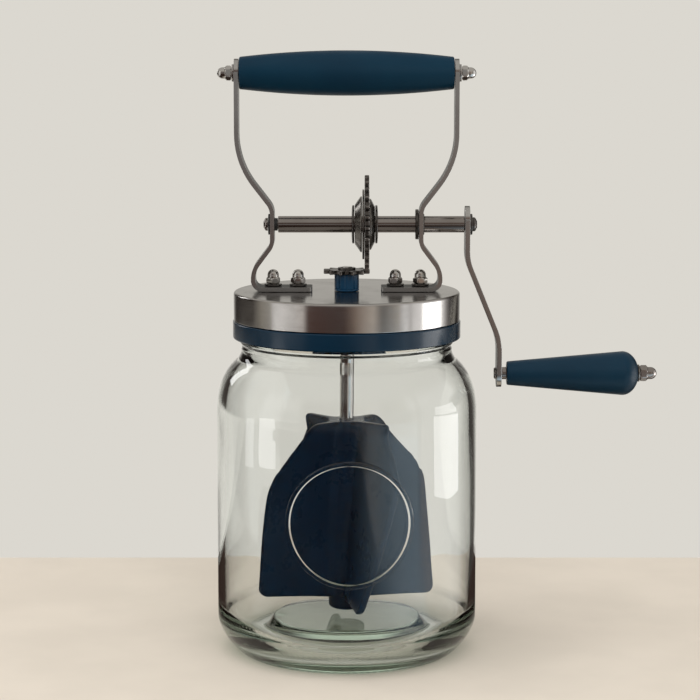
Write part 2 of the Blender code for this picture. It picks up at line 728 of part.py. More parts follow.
def build_frame_arms(lid):
    """Two bent flat bars with holes for their bolts, the shaft's bush and the rod."""
    for side, name, bush in ((-1, "left", LEFT_BUSH_RADIUS), (1, "right", RIGHT_BUSH_RADIUS)):
        path = [Vector((side * point.x, point.y)) for point in frame_arm_path()]
        bar = bent_bar(path, ARM_WIDTH, ARM_THICK, ARM_FOOT_CORNER)
        arm = place(bar, "frame_arm_" + name, "brushed_steel", lid)
        length = ARM_THICK + OVERRUN
        for i in range(2):
            reach = side * (FOOT_BOLT_INNER + i * BOLT_SPACING)
            cut_round_hole(arm, "%s_foot_hole_%d" % (name, i + 1), BOLT_RADIUS + FIT,
                           length, (reach, 0.0, ARM_LINE))
        cut_round_hole(arm, name + "_bush_hole", bush + FIT, length,
                       (side * ARM_WAIST, 0.0, SHAFT_HEIGHT), "X", SIDES_SHAFT)
        cut_round_hole(arm, name + "_rod_hole", BOLT_RADIUS + FIT, length,
                       (side * ARM_TOP_SPREAD, 0.0, HANDLE_HEIGHT), "X")


def small_acorn_nut():
    """Acorn nut of the frame's bolts and the rod."""
    return acorn_nut(NUT_FLATS, NUT_HEX, NUT_HEIGHT, NUT_DOME_RADIUS, BOLT_RADIUS + FIT,
                     THREAD_ENGAGE + FIT)


def build_foot_fasteners(lid):
    """A bolt from below, a dark washer and an acorn nut at each hole of the two feet."""
    head_top = LID_UNDER - FIT
    washer_low = ARM_LINE + ARM_THICK / 2.0 + FIT
    nut_low = washer_low + WASHER_THICK + FIT
    bolt_top = nut_low + THREAD_ENGAGE
    for side, hand in ((-1, "left"), (1, "right")):
        for i, place_name in enumerate(("inner", "outer")):
            spot = (side * (FOOT_BOLT_INNER + i * BOLT_SPACING), 0.0, 0.0)
            label = "%s_%s" % (hand, place_name)
            outline = [
                (0.0, head_top - BOLT_HEAD_THICK),
                (BOLT_HEAD_RADIUS * 0.8, head_top - BOLT_HEAD_THICK),
                (BOLT_HEAD_RADIUS, head_top - BOLT_HEAD_THICK * 0.6),
                (BOLT_HEAD_RADIUS, head_top), (BOLT_RADIUS, head_top),
                (BOLT_RADIUS, bolt_top), (0.0, bolt_top),
            ]
            bolt = turned(outline, SIDES_SMALL, ring=False)
            place(bolt, "foot_bolt_" + label, "brushed_steel", lid, spot)
            disc = washer(WASHER_RADIUS, BOLT_RADIUS + FIT, WASHER_THICK, SIDES_SMALL)
            spot_washer = (spot[0], 0.0, washer_low)
            place(disc, "foot_washer_" + label, "dark_steel", lid, spot_washer)
            spot_nut = (spot[0], 0.0, nut_low)
            place(small_acorn_nut(), "foot_nut_" + label, "polished_steel", lid, spot_nut)


def build_handle(lid):
    """Turned grip between the arms, on a rod with a washer and an acorn nut at each end."""
    half = ARM_TOP_SPREAD - ARM_THICK / 2.0 - HANDLE_END_GAP
    bore = BOLT_RADIUS + FIT
    outline = [(bore, -half), (HANDLE_END_RADIUS - HANDLE_EDGE_ROUND, -half)]
    for i in range(HANDLE_STEPS + 1):
        share = -1.0 + 2.0 * i / HANDLE_STEPS
        radius = HANDLE_END_RADIUS
        radius += (HANDLE_MIDDLE_RADIUS - HANDLE_END_RADIUS) * (1.0 - share * share)
        outline.append((radius, share * (half - HANDLE_EDGE_ROUND)))
    outline += [(HANDLE_END_RADIUS - HANDLE_EDGE_ROUND, half), (bore, half)]
    grip = turned(outline, SIDES_GRIP)
    place(grip, "handle_grip", "blue_grip", lid, (0.0, 0.0, HANDLE_HEIGHT), ALONG_X)

    washer_start = ARM_TOP_SPREAD + ARM_THICK / 2.0 + FIT
    nut_start = washer_start + WASHER_THICK + FIT
    reach = nut_start + THREAD_ENGAGE
    rod = lofted([circle(BOLT_RADIUS, SIDES_SMALL, -reach), circle(BOLT_RADIUS, SIDES_SMALL, reach)])
    place(rod, "handle_rod", "brushed_steel", lid, (0.0, 0.0, HANDLE_HEIGHT), ALONG_X)
    for side, hand, turn in ((-1, "left", ALONG_MINUS_X), (1, "right", ALONG_X)):
        disc = washer(WASHER_RADIUS, BOLT_RADIUS + FIT, WASHER_THICK, SIDES_SMALL)
        place(disc, "handle_washer_" + hand, "brushed_steel", lid,
              (side * washer_start, 0.0, HANDLE_HEIGHT), turn)
        place(small_acorn_nut(), "handle_nut_" + hand, "polished_steel", lid,
              (side * nut_start, 0.0, HANDLE_HEIGHT), turn)


def build_shaft_bushes(lid):
    """Plain bush in the left arm, flanged bush in the right arm."""
    arm_inner = ARM_WAIST - ARM_THICK / 2.0
    arm_outer = ARM_WAIST + ARM_THICK / 2.0
    sleeve = [
        (SHAFT_JOURNAL_RADIUS + FIT, -arm_outer),
        (LEFT_BUSH_RADIUS, -arm_outer),
        (LEFT_BUSH_RADIUS, LEFT_BUSH_PROUD - arm_inner),
        (SHAFT_JOURNAL_RADIUS + FIT, LEFT_BUSH_PROUD - arm_inner),
    ]
    place(turned(sleeve, SIDES_SHAFT), "left_bush", "black_plastic", lid,
          (0.0, 0.0, SHAFT_HEIGHT), ALONG_X)
    flange_start = arm_inner - FIT - RIGHT_FLANGE_THICK
    bore = SHAFT_RADIUS + FIT
    flanged = [
        (bore, flange_start), (RIGHT_FLANGE_RADIUS, flange_start),
        (RIGHT_FLANGE_RADIUS, flange_start + RIGHT_FLANGE_THICK),
        (RIGHT_BUSH_RADIUS, flange_start + RIGHT_FLANGE_THICK),
        (RIGHT_BUSH_RADIUS, arm_outer + RIGHT_BUSH_PROUD),
        (bore, arm_outer + RIGHT_BUSH_PROUD),
    ]
    place(turned(flanged, SIDES_SHAFT), "right_bush", "brushed_steel", lid,
          (0.0, 0.0, SHAFT_HEIGHT), ALONG_X)


def build_shaft(crank):
    """Stepped crank shaft, bored at both ends, with the washer and screw at its left."""
    left_step = -(ARM_WAIST - ARM_THICK / 2.0 - LEFT_BUSH_PROUD - FIT)
    left_end = -(ARM_WAIST + ARM_THICK / 2.0)
    right_step = CRANK_ARM_INNER - CRANK_ARM_THICK / 2.0 - FIT
    right_end = CRANK_ARM_INNER + CRANK_ARM_THICK / 2.0
    bore = SCREW_SHANK_RADIUS + FIT
    bore_depth = SCREW_SHANK_LENGTH + FIT
    outline = [
        (0.0, left_end + bore_depth), (bore, left_end + bore_depth), (bore, left_end),
        (SHAFT_JOURNAL_RADIUS, left_end), (SHAFT_JOURNAL_RADIUS, left_step),
        (SHAFT_RADIUS, left_step), (SHAFT_RADIUS, right_step),
        (CRANK_JOURNAL_RADIUS, right_step), (CRANK_JOURNAL_RADIUS, right_end),
        (bore, right_end), (bore, right_end - bore_depth), (0.0, right_end - bore_depth),
    ]
    shaft = turned(outline, SIDES_SHAFT, ring=False)
    place(shaft, "crank_shaft", "polished_steel", crank, rotation=ALONG_X)

    washer_start = -left_end + FIT
    disc = washer(SHAFT_WASHER_RADIUS, bore, SHAFT_WASHER_THICK)
    place(disc, "shaft_washer", "black_plastic", crank, (-washer_start, 0.0, 0.0), ALONG_MINUS_X)
    head_start = washer_start + SHAFT_WASHER_THICK + FIT
    screw = domed_screw(SHAFT_SCREW_RADIUS, SHAFT_SCREW_HEIGHT, SCREW_SHANK_RADIUS,
                        SCREW_SHANK_LENGTH)
    place(screw, "shaft_screw", "polished_steel", crank, (-head_start, 0.0, 0.0), ALONG_MINUS_X)


def dome_outline(radius, height, rim, bore):
    """Outline of a pressed dome on Z = 0, solid but for its bore."""
    outline = [(bore, 0.0), (radius, 0.0), (radius, rim)]
    crown = radius * DOME_CROWN_SHARE
    for i in range(1, 5):
        angle = QUARTER * i / 4.0
        outline.append((
            crown + (radius - crown) * math.cos(angle),
            rim + (height - rim) * math.sin(angle),
        ))
    outline.append((bore, height))
    return outline


def build_drive_gear(crank):
    """Drive gear with the disc, domes and dished washers that stand beside it."""
    bore = SHAFT_RADIUS + FIT
    left_face = PINION_PITCH - DRIVE_THICK / 2.0
    right_face = PINION_PITCH + DRIVE_THICK / 2.0
    widths = (DRIVE_TIP_WIDTH, DRIVE_PITCH_WIDTH, DRIVE_ROOT_WIDTH)
    edge = gear_outline(DRIVE_TEETH, DRIVE_PITCH, DRIVE_ADDENDUM, DRIVE_DEDENDUM, widths, 0.0)
    gear = plate([edge, circle(bore, SIDES_SHAFT)], DRIVE_THICK)
    place(gear, "drive_gear", "dark_steel", crank, (left_face, 0.0, 0.0), ALONG_X)

    start = left_face - FIT
    disc = washer(FLANGE_RADIUS, bore, FLANGE_THICK, SIDES_GRIP)
    place(disc, "gear_flange", "brushed_steel", crank, (start, 0.0, 0.0), ALONG_MINUS_X)
    start -= FLANGE_THICK + FIT
    stacks = (
        ("left", start, ALONG_MINUS_X, DOME_LEFT_RADIUS, DOME_LEFT_HEIGHT, -1),
        ("right", right_face + FIT, ALONG_X, DOME_RIGHT_RADIUS, DOME_RIGHT_HEIGHT, 1),
    )
    for hand, seat, turn, radius, height, side in stacks:
        dome = turned(dome_outline(radius, height, DOME_RIM, bore), SIDES_SHAFT)
        place(dome, "hub_dome_" + hand, "brushed_steel", crank, (seat, 0.0, 0.0), turn)
        dished = turned([
            (bore, 0.0), (HUB_WASHER_RADIUS, 0.0), (HUB_WASHER_RADIUS, HUB_WASHER_RIM),
            (HUB_WASHER_TOP, HUB_WASHER_HEIGHT), (bore, HUB_WASHER_HEIGHT),
        ], SIDES_SHAFT)
        outer = seat + side * (height + FIT)
        place(dished, "hub_washer_" + hand, "polished_steel", crank, (outer, 0.0, 0.0), turn)


def build_crank_arm(crank):
    """S-bent flat bar from the shaft to the spindle, with its washer and screw."""
    corners = [
        (CRANK_ARM_INNER, CRANK_ARM_OVER_SHAFT),
        (CRANK_ARM_INNER, -CRANK_ARM_BEND_HIGH),
        (CRANK_ARM_OUTER, CRANK_ARM_BEND_LOW - CRANK_RADIUS),
        (CRANK_ARM_OUTER, -CRANK_RADIUS - CRANK_ARM_WIDTH / 2.0),
    ]
    path = rounded_path(corners, [CRANK_ARM_ROUND_HIGH, CRANK_ARM_ROUND_LOW])
    arm = place(bent_bar(path, CRANK_ARM_WIDTH, CRANK_ARM_THICK), "crank_arm",
                "brushed_steel", crank)
    length = CRANK_ARM_THICK + OVERRUN
    cut_round_hole(arm, "crank_journal_hole", CRANK_JOURNAL_RADIUS + FIT, length,
                   (CRANK_ARM_INNER, 0.0, 0.0), "X")
    cut_round_hole(arm, "crank_spindle_hole", SPINDLE_RADIUS + FIT, length,
                   (CRANK_ARM_OUTER, 0.0, -CRANK_RADIUS), "X")

    start = CRANK_ARM_INNER + CRANK_ARM_THICK / 2.0 + FIT
    disc = washer(CRANK_WASHER_RADIUS, SCREW_SHANK_RADIUS + FIT, CRANK_WASHER_THICK)
    place(disc, "crank_washer", "dark_steel", crank, (start, 0.0, 0.0), ALONG_X)
    start += CRANK_WASHER_THICK + FIT
    screw = domed_screw(CRANK_SCREW_RADIUS, CRANK_SCREW_HEIGHT, SCREW_SHANK_RADIUS,
                        SCREW_SHANK_LENGTH)
    place(screw, "crank_screw", "dark_steel", crank, (start, 0.0, 0.0), ALONG_X)


def build_spindle(crank):
    """Spindle of the crank grip, its spacer collar, washer and acorn nut."""
    drop = -CRANK_RADIUS
    head_end = CRANK_ARM_OUTER - CRANK_ARM_THICK / 2.0 - FIT
    collar_start = CRANK_ARM_OUTER + CRANK_ARM_THICK / 2.0 + FIT
    grip_start = collar_start + GRIP_COLLAR_LENGTH + FIT
    washer_start = grip_start + GRIP_LENGTH + FIT
    nut_start = washer_start + GRIP_WASHER_THICK + FIT
    rod_end = nut_start + THREAD_ENGAGE
    outline = [
        (0.0, head_end - SPINDLE_HEAD_THICK),
        (SPINDLE_HEAD_RADIUS * 0.7, head_end - SPINDLE_HEAD_THICK),
        (SPINDLE_HEAD_RADIUS, head_end - SPINDLE_HEAD_THICK * 0.4),
        (SPINDLE_HEAD_RADIUS, head_end), (SPINDLE_RADIUS, head_end),
        (SPINDLE_RADIUS, rod_end), (0.0, rod_end),
    ]
    rod = turned(outline, SIDES_SMALL, ring=False)
    place(rod, "grip_spindle", "polished_steel", crank, (0.0, 0.0, drop), ALONG_X)
    collar = washer(GRIP_COLLAR_RADIUS, SPINDLE_RADIUS + FIT, GRIP_COLLAR_LENGTH, SIDES_SMALL)
    place(collar, "grip_collar", "polished_steel", crank, (collar_start, 0.0, drop), ALONG_X)
    disc = washer(GRIP_WASHER_RADIUS, SPINDLE_RADIUS + FIT, GRIP_WASHER_THICK, SIDES_SMALL)
    place(disc, "grip_washer", "dark_steel", crank, (washer_start, 0.0, drop), ALONG_X)
    nut = acorn_nut(GRIP_NUT_FLATS, GRIP_NUT_HEX, GRIP_NUT_HEIGHT, GRIP_NUT_DOME_RADIUS,
                    SPINDLE_RADIUS + FIT, THREAD_ENGAGE + FIT)
    place(nut, "grip_nut", "polished_steel", crank, (nut_start, 0.0, drop), ALONG_X)
    return grip_start


def build_crank_grip(grip, start):
    """Tapered grip with a round end, free to turn on the spindle."""
    bore = SPINDLE_RADIUS + FIT
    end = start + GRIP_LENGTH
    widest = end - GRIP_DOME_LENGTH
    outline = [(bore, start), (GRIP_START_RADIUS - GRIP_EDGE_ROUND, start)]
    for i in range(GRIP_STEPS + 1):
        share = i / GRIP_STEPS
        radius = GRIP_START_RADIUS
        radius += (GRIP_MAX_RADIUS - GRIP_START_RADIUS) * share
        outline.append((radius, start + GRIP_EDGE_ROUND + (widest - start - GRIP_EDGE_ROUND) * share))
    last = math.acos(GRIP_END_RADIUS / GRIP_MAX_RADIUS)
    for i in range(1, 4):
        angle = last * i / 3.0
        outline.append((
            GRIP_MAX_RADIUS * math.cos(angle),
            widest + GRIP_DOME_LENGTH * math.sin(angle) / math.sin(last),
        ))
    outline.append((bore, end))
    place(turned(outline, SIDES_GRIP), "crank_grip", "blue_grip", grip, rotation=ALONG_X)


def build_pinion(paddle):
    """Pinion with its raised hub, on the journal at the paddle shaft's top."""
    low = PINION_MIDDLE - PINION_THICK / 2.0
    bore = PADDLE_JOURNAL_RADIUS + FIT
    widths = (PINION_TIP_WIDTH, PINION_PITCH_WIDTH, PINION_ROOT_WIDTH)
    # The drive gear's lowest tooth stands in the gap that points to +X
    edge = gear_outline(PINION_TEETH, PINION_PITCH, PINION_ADDENDUM, PINION_DEDENDUM,
                        widths, TURN / PINION_TEETH / 2.0)
    face = low + PINION_THICK
    hub_top = face + PINION_HUB_RISE
    rings = [
        circle(bore, SIDES_SHAFT, low),
        [(x, y, low) for x, y in edge],
        [(x, y, face) for x, y in edge],
        circle(PINION_HUB_RADIUS, SIDES_SHAFT, face),
        circle(PINION_HUB_RADIUS, SIDES_SHAFT, hub_top),
        circle(bore, SIDES_SHAFT, hub_top),
    ]
    place(lofted(rings, ring_shaped=True), "pinion_gear", "dark_steel", paddle)


def build_paddle_shaft(paddle):
    """Shaft from the pinion down into the paddle, and the ring that stops it lifting out."""
    shoulder = PINION_MIDDLE - PINION_THICK / 2.0 - FIT
    top = PINION_MIDDLE + PINION_THICK / 2.0 + PINION_HUB_RISE + JOURNAL_PROUD
    low = PADDLE_SOCKET_FLOOR + FIT
    outline = [
        (0.0, low), (PADDLE_SHAFT_RADIUS, low), (PADDLE_SHAFT_RADIUS, shoulder),
        (PADDLE_JOURNAL_RADIUS, shoulder), (PADDLE_JOURNAL_RADIUS, top), (0.0, top),
    ]
    place(turned(outline, SIDES_SHAFT, ring=False), "paddle_shaft", "polished_steel", paddle)
    ring_low = LID_UNDER - BUSH_SHANK_LENGTH - FIT - STOP_RING_THICK
    ring = washer(STOP_RING_RADIUS, PADDLE_SHAFT_RADIUS + FIT, STOP_RING_THICK)
    place(ring, "shaft_stop_ring", "polished_steel", paddle, (0.0, 0.0, ring_low))


def vane_reach(height, top_corner):
    """How far a vane reaches from the axis at a height."""
    if height < VANE_LOW + VANE_CORNER:
        rise = VANE_CORNER - (height - VANE_LOW)
        corner = math.sqrt(max(0.0, VANE_CORNER ** 2 - rise ** 2))
        return VANE_REACH_LOW - VANE_CORNER + corner
    if height < VANE_KNEE - VANE_KNEE_BLEND:
        share = (height - VANE_LOW - VANE_CORNER) / (VANE_KNEE - VANE_LOW - VANE_CORNER)
        return VANE_REACH_LOW + (VANE_REACH_KNEE - VANE_REACH_LOW) * share
    share = min(1.0, (height - VANE_KNEE) / (VANE_CREST_LOW - VANE_KNEE))
    reach = VANE_REACH_KNEE + (VANE_REACH_TOP - VANE_REACH_KNEE) * max(0.0, share)
    away = VANE_KNEE_BLEND - abs(height - VANE_KNEE)
    if away > 0.0:
        slope = (VANE_REACH_KNEE - VANE_REACH_TOP) / (VANE_CREST_LOW - VANE_KNEE)
        reach -= slope * away ** 2 / (4.0 * VANE_KNEE_BLEND)
    drop = top_corner - (PADDLE_HIGH - height)
    if drop > 0.0:
        reach -= top_corner - math.sqrt(top_corner ** 2 - drop ** 2)
    return reach


def paddle_section(height, hub=PADDLE_HUB_RADIUS, vaned=False):
    """Cross-section of the hub, with or without its vanes."""
    rise = (height - VANE_LOW) / (PADDLE_HIGH - VANE_LOW)
    turn = VANE_TURN_LOW + (VANE_TURN_HIGH - VANE_TURN_LOW) * rise
    root = math.asin(VANE_ROOT_THICK / 2.0 / PADDLE_HUB_RADIUS)
    points = []
    for vane in range(VANES):
        middle = turn + TURN * vane / VANES
        spread = [root * share for share in ROOT_SHARES]
        local = [(hub * math.cos(a), hub * math.sin(a)) for a in spread]
        if vaned:
            reach = vane_reach(height, VANE_TOP_CORNERS[vane % len(VANE_TOP_CORNERS)])
            tip = VANE_TIP_THICK / 2.0
            local[1] = (reach - VANE_TIP_BULGE, -tip)
            local[2] = (reach, -tip / 2.0)
            local[3] = (reach, tip / 2.0)
            local[4] = (reach - VANE_TIP_BULGE, tip)
        between = TURN / VANES / 2.0
        local.append((hub * math.cos(between), hub * math.sin(between)))
        cos, sin = math.cos(middle), math.sin(middle)
        points += [(x * cos - y * sin, x * sin + y * cos, height) for x, y in local]
    return points


def build_paddle(paddle):
    """Four twisted vanes on a hub with a socket for the shaft."""
    heights = [VANE_LOW + VANE_CORNER * share for share in CORNER_SHARES]
    runs = (
        (VANE_LOW + VANE_CORNER, VANE_KNEE - VANE_KNEE_BLEND, VANE_STEPS),
        (VANE_KNEE - VANE_KNEE_BLEND, VANE_KNEE + VANE_KNEE_BLEND, VANE_KNEE_STEPS),
        (VANE_KNEE + VANE_KNEE_BLEND, VANE_CREST_LOW, VANE_SLOPE_STEPS),
    )
    for low, high, steps in runs:
        heights += [low + (high - low) * (i + 1) / steps for i in range(steps)]
    heights += [PADDLE_HIGH - below for below in VANE_TOP_RINGS]
    rings = [
        paddle_section(PADDLE_LOW, PADDLE_HUB_RADIUS - PADDLE_HUB_ROUND),
        paddle_section(PADDLE_LOW + PADDLE_HUB_ROUND),
        paddle_section(VANE_LOW),
    ]
    rings += [paddle_section(height, vaned=True) for height in heights]
    count = len(rings[0])
    socket = PADDLE_SHAFT_RADIUS + FIT
    phase = VANE_TURN_HIGH - math.asin(VANE_ROOT_THICK / 2.0 / PADDLE_HUB_RADIUS)
    rings.append(circle(socket, count, PADDLE_HIGH, phase))
    rings.append(circle(socket, count, PADDLE_SOCKET_FLOOR, phase))
    place(lofted(rings), "paddle", "blue_silicone", paddle)


def build_churn():
    """Build every assembly on its own empty."""
    clear_scene()
    churn = empty("churn", (0.0, 0.0, 0.0))
    lid = empty("lid_lift", (0.0, 0.0, 0.0), churn)
    crank = empty("crank_axis", (0.0, 0.0, SHAFT_HEIGHT), lid)
    grip = empty("grip_axis", (0.0, 0.0, -CRANK_RADIUS), crank)
    paddle = empty("paddle_axis", (0.0, 0.0, 0.0), lid)
    build_jar(churn)
    build_lid(lid)
    build_bush(lid)
    build_frame_arms(lid)
    build_foot_fasteners(lid)
    build_handle(lid)
    build_shaft_bushes(lid)
    build_shaft(crank)
    build_drive_gear(crank)
    build_crank_arm(crank)
    grip_start = build_spindle(crank)
    build_crank_grip(grip, grip_start)
    build_pinion(paddle)
    build_paddle_shaft(paddle)
    build_paddle(paddle)
    bpy.context.view_layer.update()


build_churn()
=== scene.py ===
"""Butter churn, dressed for its picture: glass jar, spun steel lid, geared crank and paddle.

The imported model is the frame. Every piece here stands where its solid stands and
rides on the same body. Lengths are in metres, +Z is up, +X points to the crank and
the camera looks along +Y.
"""

import logging
import math
from collections.abc import Sequence
from dataclasses import dataclass
from enum import Enum
from functools import cache

import bmesh
import bpy
from mathutils import Matrix, Vector


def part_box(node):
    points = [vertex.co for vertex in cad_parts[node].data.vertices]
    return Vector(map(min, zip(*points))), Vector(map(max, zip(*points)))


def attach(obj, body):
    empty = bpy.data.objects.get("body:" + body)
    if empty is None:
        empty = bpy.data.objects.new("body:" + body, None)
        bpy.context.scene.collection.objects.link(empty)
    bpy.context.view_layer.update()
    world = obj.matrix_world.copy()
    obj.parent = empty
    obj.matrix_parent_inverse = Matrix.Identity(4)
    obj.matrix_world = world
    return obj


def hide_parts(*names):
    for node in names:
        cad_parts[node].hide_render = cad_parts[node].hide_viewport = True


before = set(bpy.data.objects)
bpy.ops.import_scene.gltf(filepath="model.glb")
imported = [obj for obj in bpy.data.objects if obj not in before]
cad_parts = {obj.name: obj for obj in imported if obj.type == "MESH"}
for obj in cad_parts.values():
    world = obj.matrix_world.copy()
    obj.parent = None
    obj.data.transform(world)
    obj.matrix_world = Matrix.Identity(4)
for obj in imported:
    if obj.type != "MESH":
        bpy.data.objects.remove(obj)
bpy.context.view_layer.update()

MM = 0.001
TURN = 2.0 * math.pi
QUARTER = TURN / 4.0
EIGHTH = TURN / 8.0
FIT = 0.3 * MM                  # gap between a pin and its hole, and between seated pieces
DRILL = 4.0 * MM                # half the length of a hole's cutter
ON_AXIS = 1e-7                  # a length that counts as none
STRAIGHT = 1.55                 # half the angle from which a corner counts as straight
WHOLE = 1.0                     # a limit that cuts nothing off a hexagon's corners
SHAFT = 244.2 * MM              # heights of the crank's shaft and of the two grips
SIDE_GRIP = 159.3 * MM
TOP_GRIP = 329.0 * MM
X, Z = 0, 2                     # places of these coordinates in a point
log = logging.getLogger("churn")

Point = tuple[float, float]
Corner = tuple[float, ...]      # two coordinates and, where the corner is rounded, its radius
Triple = tuple[float, float, float]
Form = bmesh.types.BMesh


# Node trees


class Sock:
    """One output of a node, with arithmetic that adds Math nodes."""

    def __init__(self, tree: "NodeTree", socket: bpy.types.NodeSocket) -> None:
        """Wrap a socket of a tree."""
        self.tree, self.socket = tree, socket

    def math(self, operation: str, *others: "Sock | float") -> "Sock":
        """Give a Math node of this value and the others."""
        return self.tree.math(operation, self, *others)

    def __add__(self, other: "Sock | float") -> "Sock":
        """Add a value."""
        return self.math("ADD", other)

    __radd__ = __add__

    def __sub__(self, other: "Sock | float") -> "Sock":
        """Take a value away."""
        return self.math("SUBTRACT", other)

    def __rsub__(self, other: "Sock | float") -> "Sock":
        """Take this from a value."""
        return self.tree.math("SUBTRACT", other, self)

    def __mul__(self, other: "Sock | float") -> "Sock":
        """Multiply by a value."""
        return self.math("MULTIPLY", other)

    __rmul__ = __mul__

    def __truediv__(self, other: "Sock | float") -> "Sock":
        """Divide by a value."""
        return self.math("DIVIDE", other)

    def __pow__(self, other: "Sock | float") -> "Sock":
        """Raise to a power."""
        return self.math("POWER", other)

    def capped(self) -> "Sock":
        """Hold the value at 1 where it would pass it."""
        return self.math("MINIMUM", 1.0)

    def ramp(self, low: float, high: float) -> "Sock":
        """Rise smoothly from 0 at low to 1 at high."""
        return self.tree.add("ShaderNodeMapRange", {"interpolation_type": "SMOOTHSTEP"},
                             {"Value": self, "From Min": low, "From Max": high})


class NodeTree:
    """A material's, the world's or a geometry modifier's nodes, written as expressions."""

    def __init__(self, tree: bpy.types.NodeTree) -> None:
        """Start with an empty tree."""
        tree.nodes.clear()
        self.tree = tree

    def add(
        self, kind: str, settings: dict | None = None, sockets: dict | None = None,
        output: int | str = 0,
    ) -> Sock:
        """Add one node.

        Args:
            kind: the node's type.
            settings: properties that are set first, or a ramp's stops.
            sockets: values or links by socket name or number.
            output: the output that is handed back.

        Returns:
            The node's output.
        """
        node = self.tree.nodes.new(kind)
        for name, value in (settings or {}).items():
            if name == "stops":
                elements = node.color_ramp.elements
                while len(elements) < len(value):
                    elements.new(1.0)
                for element, (place, colour) in zip(elements, value):
                    element.position = place
                    element.color = (*colour, 1.0)
            else:
                setattr(node, name, value)
        for key, value in (sockets or {}).items():
            if isinstance(value, Sock):
                self.tree.links.new(value.socket, node.inputs[key])
            else:
                node.inputs[key].default_value = value
        return Sock(self, node.outputs[output] if len(node.outputs) else None)

    def math(self, operation: str, *values: "Sock | float") -> Sock:
        """Give a Math node of these values."""
        return self.add("ShaderNodeMath", {"operation": operation}, dict(enumerate(values)))

    def mixed(self, factor: Sock, first: "Sock | Triple", second: "Sock | Triple") -> Sock:
        """Mix two colours."""
        first, second = (end if isinstance(end, Sock) else (*end, 1.0) for end in (first, second))
        return self.add("ShaderNodeMix", {"data_type": "RGBA"}, {0: factor, 6: first, 7: second}, 2)

    def between(self, factor: Sock, first: Sock, second: Sock) -> Sock:
        """Mix two shaders."""
        return self.add("ShaderNodeMixShader", None, {0: factor, 1: first, 2: second})

    def parts(self, vector: Sock) -> list[Sock]:
        """Split a vector into its three coordinates."""
        split = self.add("ShaderNodeSeparateXYZ", None, {0: vector})
        return [Sock(self, split.socket.node.outputs[axis]) for axis in range(3)]

    def joined(self, *values: "Sock | float") -> Sock:
        """Join three values into a vector."""
        return self.add("ShaderNodeCombineXYZ", None, dict(enumerate(values)))

    def noise(self, vector: Sock, scale: float, detail: float = 3.0) -> Sock:
        """Give a noise value around one half."""
        return self.add("ShaderNodeTexNoise", None,
                        {"Vector": vector, "Scale": scale, "Detail": detail})

    def bump(self, height: Sock, depth: float, strength: float = 1.0) -> Sock:
        """Turn a height of 0 to 1 into a normal, for a relief of the given depth."""
        return self.add("ShaderNodeBump", None,
                        {"Height": height, "Distance": depth, "Strength": strength})

    def path(self, kind: str) -> Sock:
        """Give one of the facts about the ray that light takes."""
        return self.add("ShaderNodeLightPath", output=kind)

    def mirrored(self) -> Sock:
        """1 for light that a polished surface threw back, 0 for light straight on or through glass."""
        return self.path("Glossy Depth").capped()

    def placed(self, centre: Triple, turn: Triple) -> Sock:
        """Give object coordinates about a piece's own axis, which is laid along Z.

        Args:
            centre: a point of the axis.
            turn: the turn that lays it along Z.

        Returns:
            The coordinates.
        """
        where = self.add("ShaderNodeTexCoord", output="Object")
        moved = self.add("ShaderNodeVectorMath", {"operation": "SUBTRACT"}, {0: where, 1: centre})
        return self.add("ShaderNodeMapping", None, {"Vector": moved, "Rotation": turn})


# Finishes


class Grain(Enum):
    """How the fine lines of a metal run, about the piece's own axis."""

    AROUND = "around"
    ACROSS_WIDTH = "lengthwise, so that they follow each other across the width"
    CAST = "no direction"


class Axis(Enum):
    """The axis that a piece is turned about, as the turn that lays it along Z."""

    UPRIGHT = (0.0, 0.0, 0.0)
    SIDEWAYS = (0.0, -QUARTER, 0.0)


@dataclass(frozen=True)
class Finish:
    """What every finish has: a name, the record's slot and the axis of its piece."""

    name: str
    slot: str
    centre: Triple = (0.0, 0.0, 0.0)
    axis: Axis = Axis.UPRIGHT

    def shader(self, tree: NodeTree) -> Sock:
        """Build the surface. Each finish has its own."""
        raise NotImplementedError

    def filling(self, tree: NodeTree) -> dict[str, Sock]:
        """What lies inside the piece, where light passes through it."""
        return {}

    def material(self) -> bpy.types.Material:
        """Make the material, once.

        Returns:
            The material.
        """
        known = bpy.data.materials.get(self.name)
        if known:
            return known
        material = bpy.data.materials.new(self.name)
        material.use_nodes = True
        tree = NodeTree(material.node_tree)
        tree.add("ShaderNodeOutputMaterial", None, {"Surface": self.shader(tree), **self.filling(tree)})
        return material


